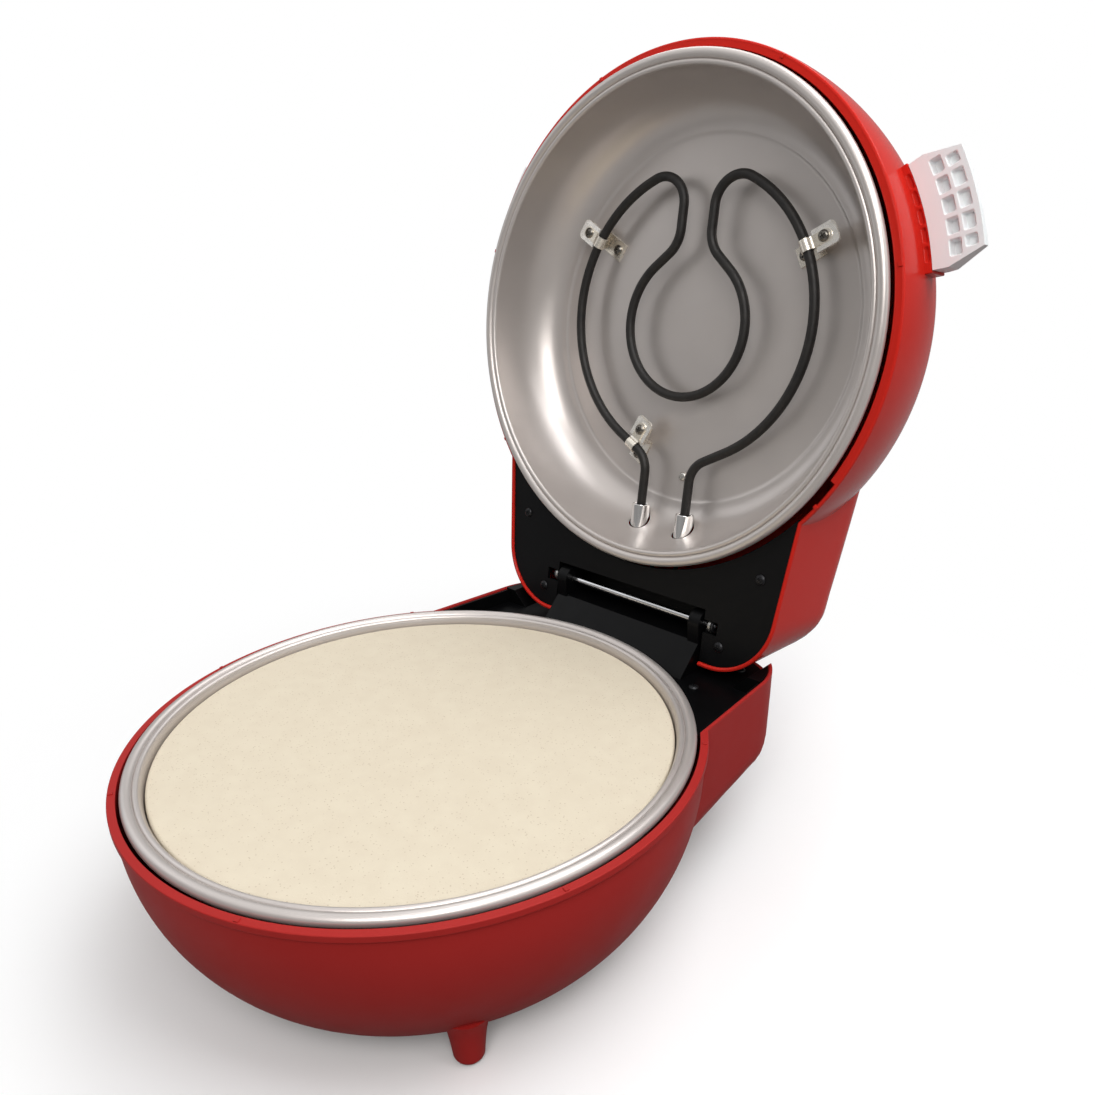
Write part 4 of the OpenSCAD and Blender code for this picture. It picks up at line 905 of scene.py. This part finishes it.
rod = {
    "radius": 3.25, "loopY": 2.0, "loopR": 49.0, "loopTurn": 140.0, "neckR": 22.0, "neckTurn": 50.0,
    "neckRun": 14.0, "frontRun": 15.0, "turnR": 19.0, "sweepR": 98.5, "sweepEnd": 62.0, "leadR": 18.0,
    "leadX": 20.0, "leadEnd": 150.0, "pinR": 1.6, "pinLength": 12.0, "sides": 28,
}


def walk(start, steps):
    # points along bends (radius, turn) and straights (0, length); a positive radius bends left
    x, y, heading = start
    points = [(x, y)]
    for radius, amount in steps:
        if radius == 0:
            count = max(2, int(amount / 3))
            points += [(x + amount * i / count * cosDeg(heading), y + amount * i / count * sinDeg(heading))
                       for i in range(1, count + 1)]
            x, y = points[-1]
        else:
            side = 90 if radius > 0 else -90
            r = abs(radius)
            cx, cy = x + r * cosDeg(heading + side), y + r * sinDeg(heading + side)
            count = max(6, int(amount / 2.5))
            for i in range(1, count + 1):
                h = heading + math.copysign(amount * i / count, radius)
                points.append((cx + r * cosDeg(h - side), cy + r * sinDeg(h - side)))
            heading += math.copysign(amount, radius)
            x, y = points[-1]
    return points, (x, y, heading)


def rodLine():
    r = rod
    start = (0.0, r["loopY"] + r["loopR"], 0.0)
    steps = [(-r["loopR"], r["loopTurn"]), (0, r["neckRun"]), (r["neckR"], r["neckTurn"]), (0, r["frontRun"])]
    points, (x, y, heading) = walk(start, steps)
    turnX, turnY = x + r["turnR"] * cosDeg(heading + 90), y + r["turnR"] * sinDeg(heading + 90)
    sweepY = turnY + math.sqrt((r["sweepR"] - r["turnR"]) ** 2 - turnX ** 2)
    meet = math.degrees(math.atan2(turnY - sweepY, turnX))
    bend = r["leadR"] * (1 - cosDeg(r["sweepEnd"]))
    run = (r["sweepR"] * cosDeg(r["sweepEnd"]) - r["leadX"] - bend) / sinDeg(r["sweepEnd"])
    steps += [(r["turnR"], meet + 180), (r["sweepR"], r["sweepEnd"] - meet), (0, run),
              (-r["leadR"], r["sweepEnd"])]
    points, (x, y, heading) = walk(start, steps)
    points += [(r["leadX"], y + (r["leadEnd"] - y) * i / 4) for i in range(1, 5)]
    half = [(px, py, dish["rodDepth"]) for px, py in points]
    return [(-px, py, pz) for px, py, pz in reversed(half[1:])] + half, sweepY, run


rodPoints, sweepY, leadRun = rodLine()


def heatingRod(name):
    parts = [tube("rod", rodPoints, rod["radius"], rod["sides"], "rodBlack")]
    r, end = rod["pinR"], rod["pinLength"]
    line = [(0, -2), (r, -2), (r, end - 0.5), (r - 0.5, end), (0, end)]
    parts += [turned(lathe("pin", line, 20), alongY(side * rod["leadX"], rod["leadEnd"], dish["rodDepth"]))
              for side in (1, -1)]
    return joined(name, parts)


def rodSleeves(name):
    # open-ended steel tubes, turned in a little round the rod
    d, bore = dish, rod["radius"] + 0.15
    r, length, inside = d["sleeveRadius"], d["sleeveLength"], d["sleeveRadius"] - d["sleeveWall"]
    line = [(bore, 2.4), (bore, 1.9), (r - 1.5, 1.6), (r - 0.95, 1.1), (r - 0.85, 0.3), (r - 0.6, 0.0),
            (r - 0.25, 0.0), (r, 0.3), (r, length - 0.3), (r - 0.3, length), (inside, length), (inside, 2.4)]
    aims = [alongY(side * d["sleeveX"], d["sleeveY"], d["rodDepth"]) for side in (1, -1)]
    return joined(name, [turned(lathe("sleeve", line, 64), aim) for aim in aims])


halves = (("upper", upperTurn, "lid"), ("lower", lowerTurn, "base"))
for half, turn, body in halves:
    settle(heatingRod(half + "_heating_rod_black"), turn, "rodBlack", body, "rod_sheath",
           half + "_heating_rod")
for half, turn, body in halves:
    settle(rodSleeves(half + "_rod_sleeves_steel"), turn, "sleeveSteel", body, "sleeve_steel",
           half + "_rod_sleeves")
print("rods made")


# Clips: a folded bracket on the dish floor, a strap round the rod, and two screws each

clip = {
    "strapWidth": 7.8, "strapThick": 0.8, "strapRound": 3.6, "earEnd": 18.2, "earScrew": 13.0,
    "plateThick": 1.2, "footWidth": 13.0, "footLength": 14.0, "footScrew": -8.6, "bend": 1.4, "riserX": 6.0,
    "shelfWidth": 14.5, "shelfEnd": 22.0, "shelfRound": 3.4, "hem": 1.6, "earHole": 1.7, "footHole": 2.0,
    "screw": (3.7, 2.2, 1.6, 6.0),  # head radius and height, shank radius and length
    "angles": [-29.0, 209.0, 118.0],
}


def clipTurns():
    turns = []
    for angle, along in zip(clip["angles"], (0.0, 0.0, 0.7 * leadRun)):
        x = rod["sweepR"] * cosDeg(angle) + along * sinDeg(angle)
        y = sweepY + rod["sweepR"] * sinDeg(angle) - along * cosDeg(angle)
        facing = angle + (180 if along else 0)  # the clip beside the leads has its shelf inwards
        turns.append(shift(x, y, 0) @ spin(facing))
    return turns


def strip(name, line, width, thick):
    # a flat strip bent along a line of (x, z), with its thickness on the left of the line
    n = len(line)
    sides = []
    for i in range(n):
        ax, az = line[max(i - 1, 0)]
        bx, bz = line[min(i + 1, n - 1)]
        d = math.hypot(bx - ax, bz - az)
        sides.append((line[i][0] - (bz - az) / d * thick, line[i][1] + (bx - ax) / d * thick))
    outline = list(line) + list(reversed(sides))
    verts = [(x, y, z) for y in (-width / 2, width / 2) for x, z in outline]
    m = len(outline)
    faces = [(j, (j + 1) % m, m + (j + 1) % m, m + j) for j in range(m)]
    for i in range(n - 1):
        a, b, c, d = i, i + 1, m - 2 - i, m - 1 - i
        faces.append((a, b, c, d))
        faces.append((m + d, m + c, m + b, m + a))
    return meshObject(name, verts, faces)


def drill(obj, x, radius):
    line = [(0, 20), (radius, 20), (radius, 80), (0, 80)]
    return combine(obj, [turned(lathe("drill", line, 24), shift(x, 0, 0))], "DIFFERENCE")


def roundEnds(end, width, radius, z):
    # cutters for the two far corners of a strip that ends at x = end
    cutters = []
    for s in (1, -1):
        cx, cy = end - radius, s * (width / 2 - radius)
        arc = [(cx + radius * cosDeg(a), cy + s * radius * sinDeg(a)) for a in range(0, 91, 15)]
        outside = s * (width / 2 + 1)
        outline = [(end + 1, outside), (end + 1, arc[0][1])] + arc + [(arc[-1][0], outside)]
        cutters.append(prism("corner", outline, z - 3, z + 4))
    return cutters


def bracketPart():
    # foot plate, riser and shelf, folded from one sheet with rounded bends
    c, thick, riser, r = clip, clip["plateThick"], clip["riserX"], clip["bend"]
    floor, shelf = dish["depth"] + dish["floorStep"], dish["rodDepth"]
    footLine = [(-c["footLength"], floor), (riser - r, floor)]
    footLine += arcPoints(riser - r, floor - r, r, 90, 0, 4)[1:]
    foot = strip("foot", footLine + [(riser, shelf + 2.2)], c["footWidth"], -thick)
    shelfLine = [(riser - thick, shelf + 3.2), (riser - thick, shelf + 1.0),
                 (riser - thick + 0.35, shelf + 0.3), (riser + 0.3, shelf), (c["shelfEnd"], shelf)]
    top = strip("shelf", shelfLine, c["shelfWidth"], thick)
    # the shelf's far corners are rounded off, and its long sides are hemmed downwards
    combine(top, roundEnds(c["shelfEnd"], c["shelfWidth"], c["shelfRound"], shelf), "DIFFERENCE")
    drill(top, c["earScrew"], c["earHole"])
    drill(foot, c["footScrew"], c["footHole"])
    hems = []
    for s in (1, -1):
        y = s * (c["shelfWidth"] / 2 - 0.5)
        hems.append(boxObject("hem", (riser + 1, y - 0.5, shelf + 0.6),
                              (c["shelfEnd"] - c["shelfRound"], y + 0.5, shelf + thick + c["hem"])))
    return joined("bracket", [softEdges(part, 0.18, 2) for part in [foot, top] + hems])


def strapPart():
    # ear, round the rod and back under the ear
    c, z = clip, dish["rodDepth"]
    r, t = rod["radius"] + 0.16, clip["strapThick"]
    line = [(c["earEnd"], z), (r + 2.4, z), (r + 1.3, z - 0.25), (r + 0.55, z - 0.8)]
    line += arcPoints(0, z, r, -16, -344, 34)
    line += [(r + 0.5, z + 0.75), (r + 0.75, z + 0.12)]
    strap = strip("strap", line, c["strapWidth"], t)
    combine(strap, roundEnds(c["earEnd"], c["strapWidth"], c["strapRound"], z - 1), "DIFFERENCE")
    drill(strap, c["earScrew"], c["earHole"])
    return softEdges(strap, 0.15, 2)


def atClips(part):
    parts = [turned(twin(part, "clip"), turn) for turn in clipTurns()]
    drop(part)
    return parts


def clipScrewSeats():
    ear = Vector((clip["earScrew"], 0, dish["rodDepth"] - clip["strapThick"]))
    foot = Vector((clip["footScrew"], 0, dish["depth"] + dish["floorStep"] - clip["plateThick"]))
    return [(turn @ spot, (0, 0, -1)) for turn in clipTurns() for spot in (ear, foot)]


for half, turn, body in halves:
    for kind, part in (("brackets", bracketPart), ("straps", strapPart)):
        settle(joined(half + "_clip_" + kind + "_nickel", atClips(part())), turn, "clipNickel", body,
               "clip_steel", half + "_clip_" + kind)
    screws(half + "_clip_screws_steel", clipScrewSeats(), clip["screw"], turn, "clipScrewSteel", body,
           "screw_steel", half + "_clip_screws")

rivet = {"x": 5.0, "y": 107.0, "head": 3.2, "shank": 1.5}
rivetLine = [(0, 4), (rivet["shank"], 4), (rivet["shank"], 0), (rivet["head"], 0), (rivet["head"], -0.5)]
rivetLine += arcPoints(1.7, -0.9, 1.5, 0, -90, 5) + [(0, -2.4)]
rivetSpot = shift(rivet["x"], rivet["y"], dish["depth"] + dish["floorStep"])
settle(turned(lathe("upper_dish_rivet_steel", rivetLine, 40), rivetSpot), upperTurn, "screwSteel", "lid",
       "screw_steel", "upper_dish_rivet")
print("clips made")


# Handles

def handlePart():
    # part of a ring, thick at the root, thin at the tip, with its two outer corners cut off
    f, half = handleForm, handleHalf()
    rise = f["rootThick"] - f["tipThick"]
    corner, cut = f["root"] + f["cornerRun"], f["cornerCut"]
    outline = arcPoints(0, 0, f["root"], half, -half, 16)
    outline.append((corner * cosDeg(-half), corner * sinDeg(-half)))
    outline += arcPoints(0, 0, f["reach"], cut - half, half - cut, 16)
    outline.append((corner * cosDeg(half), corner * sinDeg(half)))
    body = prism("handle", outline, f["under"], f["under"] + f["rootThick"])
    above = turned(boxObject("above", (0, -100, 0), (60, 100, 60)),
                   shift(f["root"], 0, f["under"] + f["rootThick"])
                   @ Matrix.Rotation(math.atan2(rise, f["reach"] - f["root"]), 4, "Y"))
    combine(body, [above], "DIFFERENCE")
    softEdges(body, 1.1, 4, 15)
    return combine(body, pocketCutters(1) + pocketCutters(2), "DIFFERENCE")


rightHandle = turned(handlePart(), handleTurn(1))
rightHandle.name = "handle_right_white"
leftHandle = turned(twin(rightHandle, "handle_left_white"), Matrix.Diagonal((-1, 1, 1, 1)))
settle(rightHandle, lidTurn, "handleWhite", "lid", "white_plastic", "handle_right")
settle(leftHandle, lidTurn, "handleWhite", "lid", "white_plastic", "handle_left")
print("handles made")


# Black rear parts: merged copies of the frame's own meshes with softened edges

rearParts = (
    # piece, node, edge width, finish, body, slot
    ("base_deck_black", "base_deck", 0.5, "deckBlack", "base", "black_plastic"),
    ("hinge_riser_black", "hinge_riser", 0.7, "deckBlack", "base", "black_plastic"),
    ("lid_panel_black", "lid_inner_panel", 0.5, "panelBlack", "lid", "black_plastic"),
    ("power_inlet_black", "power_inlet", 0.5, "deckBlack", "base", "black_plastic"),
    ("hinge_rod_nuts_steel", "hinge_rod_nuts", 0.3, "screwBlack", "base", "black_steel"),
    ("hinge_ear_left_steel", "hinge_ear_left", 0.25, "plateSteel", "lid", "clip_steel"),
    ("hinge_ear_right_steel", "hinge_ear_right", 0.25, "plateSteel", "lid", "clip_steel"),
    ("inlet_contacts_steel", "inlet_contacts", 0.3, "plateSteel", "base", "screw_steel"),
    ("base_terminal_ivory", "base_terminal_block", 0.6, "terminalIvory", "base", "ivory_plastic"),
    ("lid_terminal_ivory", "lid_terminal_block", 0.6, "terminalIvory", "lid", "ivory_plastic"),
)
for name, node, width, look, body, slot in rearParts:
    part = softEdges(turned(frameCopy(name, node), inMetres), width, 2, 35)
    settle(part, Matrix.Identity(4), look, body, slot, node)

hinge = {"radius": 2.5, "length": 150.2, "chamfer": 0.6}
r, h, c = hinge["radius"], hinge["length"] / 2, hinge["chamfer"]
hingeLine = [(0, -h), (r - c, -h), (r, -h + c), (r, h - c), (r - c, h), (0, h)]
aim = shift(0, place["hingeY"], place["hingeZ"]) @ spin(90, "Y")
settle(turned(lathe("hinge_rod_steel", hingeLine, 64), aim), baseTurn, "hingeSteel", "base", "sleeve_steel",
       "hinge_rod")

# Screws of the rear parts and the dish: height of the seats, their places, then the sizes as for the clips
dishSpots = [(75 * cosDeg(angle), 75 * sinDeg(angle)) for angle in (30, 150, 270)]
rearScrews = (
    ("deck_screws", "black", -15.0, 1, [(s * x, y) for x, y in ((79, 164), (88, 203)) for s in (1, -1)],
     (3.2, 1.8, 1.3, 14.0), baseTurn, "base"),
    ("panel_screws", "black", 10.0, -1, [(s * x, y) for x, y in ((106, 153), (82, 205)) for s in (1, -1)],
     (3.4, 1.8, 1.3, 12.0), lidTurn, "lid"),
    ("riser_screws", "black", -17.5, -1, [(40, 192), (-40, 192)], (3.6, 2.0, 1.8, 12.0), baseTurn, "base"),
    ("dish_screws", "steel", -51.0, 1, dishSpots, (3.4, 2.0, 1.8, 12.0), baseTurn, "base"),
)
for node, metal, height, facing, spots, size, turn, body in rearScrews:
    look, slot = ("screwBlack", "black_steel") if metal == "black" else ("screwSteel", "screw_steel")
    seats = [((x, y, height), (0, 0, facing)) for x, y in spots]
    screws(node + "_" + metal, seats, size, turn, look, body, slot, node)
print("rear parts made")

# What stays hidden inside keeps its CAD mesh and gets a finish
keep = {
    "inlet_screws": "screwSteel", "handle_screws": "screwSteel", "hinge_ear_screws": "screwSteel",
    "thermostat": "plateSteel", "base_leads": "leadRubber", "lid_leads": "leadRubber",
    "thermal_fuse": "fuseTan", "fuse_strap": "plateSteel",
}
for node, name in keep.items():
    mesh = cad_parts[node].data
    mesh.materials.clear()
    mesh.materials.append(materials[name])
print("inner parts finished")


# Floor, light and camera

studio = {
    "floorSize": 6.0, "floorTone": 0.94, "floorBounce": 0.12, "clearFrom": 0.2, "clearTo": 0.5,
    "mirrorFloor": 0.2, "sky": 0.34, "haze": 0.32, "zenith": 1.0, "hazeFrom": 0.4, "hazeTo": 0.72,
}
lamps = {
    # place, aim, size, power, tone
    "topLamp": ((0.6, 0.3, 1.7), (0, 0, 0.1), (1.3, 1.3), 18.5, (0.97, 0.985, 1.0)),
    "keyLamp": ((1.1, -1.1, 1.5), (0, 0, 0.2), (1.2, 1.0), 20.0, (1.0, 0.985, 0.965)),
    "fillLamp": ((-1.6, -0.7, 0.9), (0, 0, 0.25), (1.2, 1.2), 3.0, (0.95, 0.97, 1.0)),
    "sideLamp": ((1.7, 0.5, 1.0), (0, 0.1, 0.3), (1.0, 1.4), 4.0, (1.0, 0.98, 0.96)),
    "backLamp": ((-0.6, 1.0, 1.6), (0, 0.1, 0.25), (1.2, 1.0), 5.0, (1.0, 1.0, 1.0)),
}


def makeFloor():
    half = studio["floorSize"] / 2
    mesh = bpy.data.meshes.new("floor")
    square = [(-half, -half, 0), (half, -half, 0), (half, half, 0), (-half, half, 0)]
    mesh.from_pydata(square, [], [(0, 1, 2, 3)])
    obj = linked("floor", mesh)
    material = bpy.data.materials.new("paleFloor")
    add = shaderNodes(material)
    # the camera sees plain white away from the object and the shadow near it, and mirrors see it dimmed
    rays = add("ShaderNodeLightPath").outputs
    mirrored = calc(add, "MULTIPLY", rays["Is Glossy Ray"], studio["mirrorFloor"])
    seen = calc(add, "MAXIMUM", rays["Is Camera Ray"], mirrored)
    seen = calc(add, "MAXIMUM", seen, rays["Is Transmission Ray"])
    tone = add("ShaderNodeMapRange", {"Value": seen, "To Min": studio["floorBounce"],
                                      "To Max": studio["floorTone"]}).outputs["Result"]
    matt = add("ShaderNodeBsdfDiffuse", {"Color": tone}).outputs["BSDF"]
    glow = add("ShaderNodeEmission", {"Strength": 1.0}).outputs["Emission"]
    coords = add("ShaderNodeTexCoord").outputs["Object"]
    away = add("ShaderNodeVectorMath", {0: coords}, operation="LENGTH").outputs["Value"]
    clear = ranged(add, away, 0.0, 1.0, studio["clearFrom"], studio["clearTo"],
                   interpolation_type="SMOOTHSTEP")
    mix = add("ShaderNodeMixShader", {0: calc(add, "MULTIPLY", seen, clear), 1: matt, 2: glow})
    add("ShaderNodeOutputMaterial", {"Surface": mix.outputs["Shader"]})
    mesh.materials.append(material)


def makeSky():
    # the camera and clear surfaces see plain white; mirror-like ones see it fall off overhead
    world = bpy.data.worlds.new("studio")
    bpy.context.scene.world = world
    add = shaderNodes(world)
    rays = add("ShaderNodeLightPath").outputs
    split = add("ShaderNodeSeparateXYZ", {0: add("ShaderNodeTexCoord").outputs["Generated"]})
    fade = ranged(add, split.outputs["Z"], studio["haze"], studio["zenith"], studio["hazeFrom"],
                  studio["hazeTo"])

    def background(strength):
        return add("ShaderNodeBackground", {"Color": (1, 1, 1, 1), "Strength": strength}).outputs[0]

    soft, mirrored, white = background(studio["sky"]), background(fade), background(1.0)
    first = add("ShaderNodeMixShader", {0: rays["Is Glossy Ray"], 1: soft, 2: mirrored}).outputs[0]
    most = calc(add, "MAXIMUM", rays["Is Camera Ray"], rays["Is Transmission Ray"])
    second = add("ShaderNodeMixShader", {0: most, 1: first, 2: white}).outputs[0]
    add("ShaderNodeOutputWorld", {"Surface": second})


def areaLamp(name, spot, aim, size, power, tone):
    lamp = bpy.data.lights.new(name, "AREA")
    lamp.shape = "RECTANGLE"
    lamp.size, lamp.size_y = size
    lamp.energy = power
    lamp.color = tone
    obj = linked(name, lamp)
    obj.location = spot
    obj.rotation_euler = (Vector(aim) - Vector(spot)).to_track_quat("-Z", "Y").to_euler()


def makeCamera():
    # fitted to the photograph: place, look and lens
    view = {
        "azimuth": 46.64, "elevation": 20.64, "roll": -2.69, "spot": (0.4319, -0.3782, 0.4218),
        "pixels": 994.0, "frame": 1095.0, "sensor": 36.0,
    }
    a, e, roll = (math.radians(view[k]) for k in ("azimuth", "elevation", "roll"))
    back = Vector((math.sin(a) * math.cos(e), -math.cos(a) * math.cos(e), math.sin(e)))
    right = Vector((math.cos(a), math.sin(a), 0))
    up = back.cross(right)
    right, up = math.cos(roll) * right + math.sin(roll) * up, math.cos(roll) * up - math.sin(roll) * right
    camera = bpy.data.cameras.new("photoView")
    camera.sensor_width = view["sensor"]
    camera.lens = view["sensor"] * view["pixels"] / view["frame"]
    camera.clip_start = 0.01
    obj = linked("photoView", camera)
    turn = Matrix((right, up, back)).transposed().to_4x4()
    obj.matrix_world = Matrix.Translation(view["spot"]) @ turn
    bpy.context.scene.camera = obj


makeFloor()
makeSky()
for name, lamp in lamps.items():
    areaLamp(name, *lamp)
makeCamera()
bpy.context.scene.view_settings.view_transform = "Standard"
print("studio set")
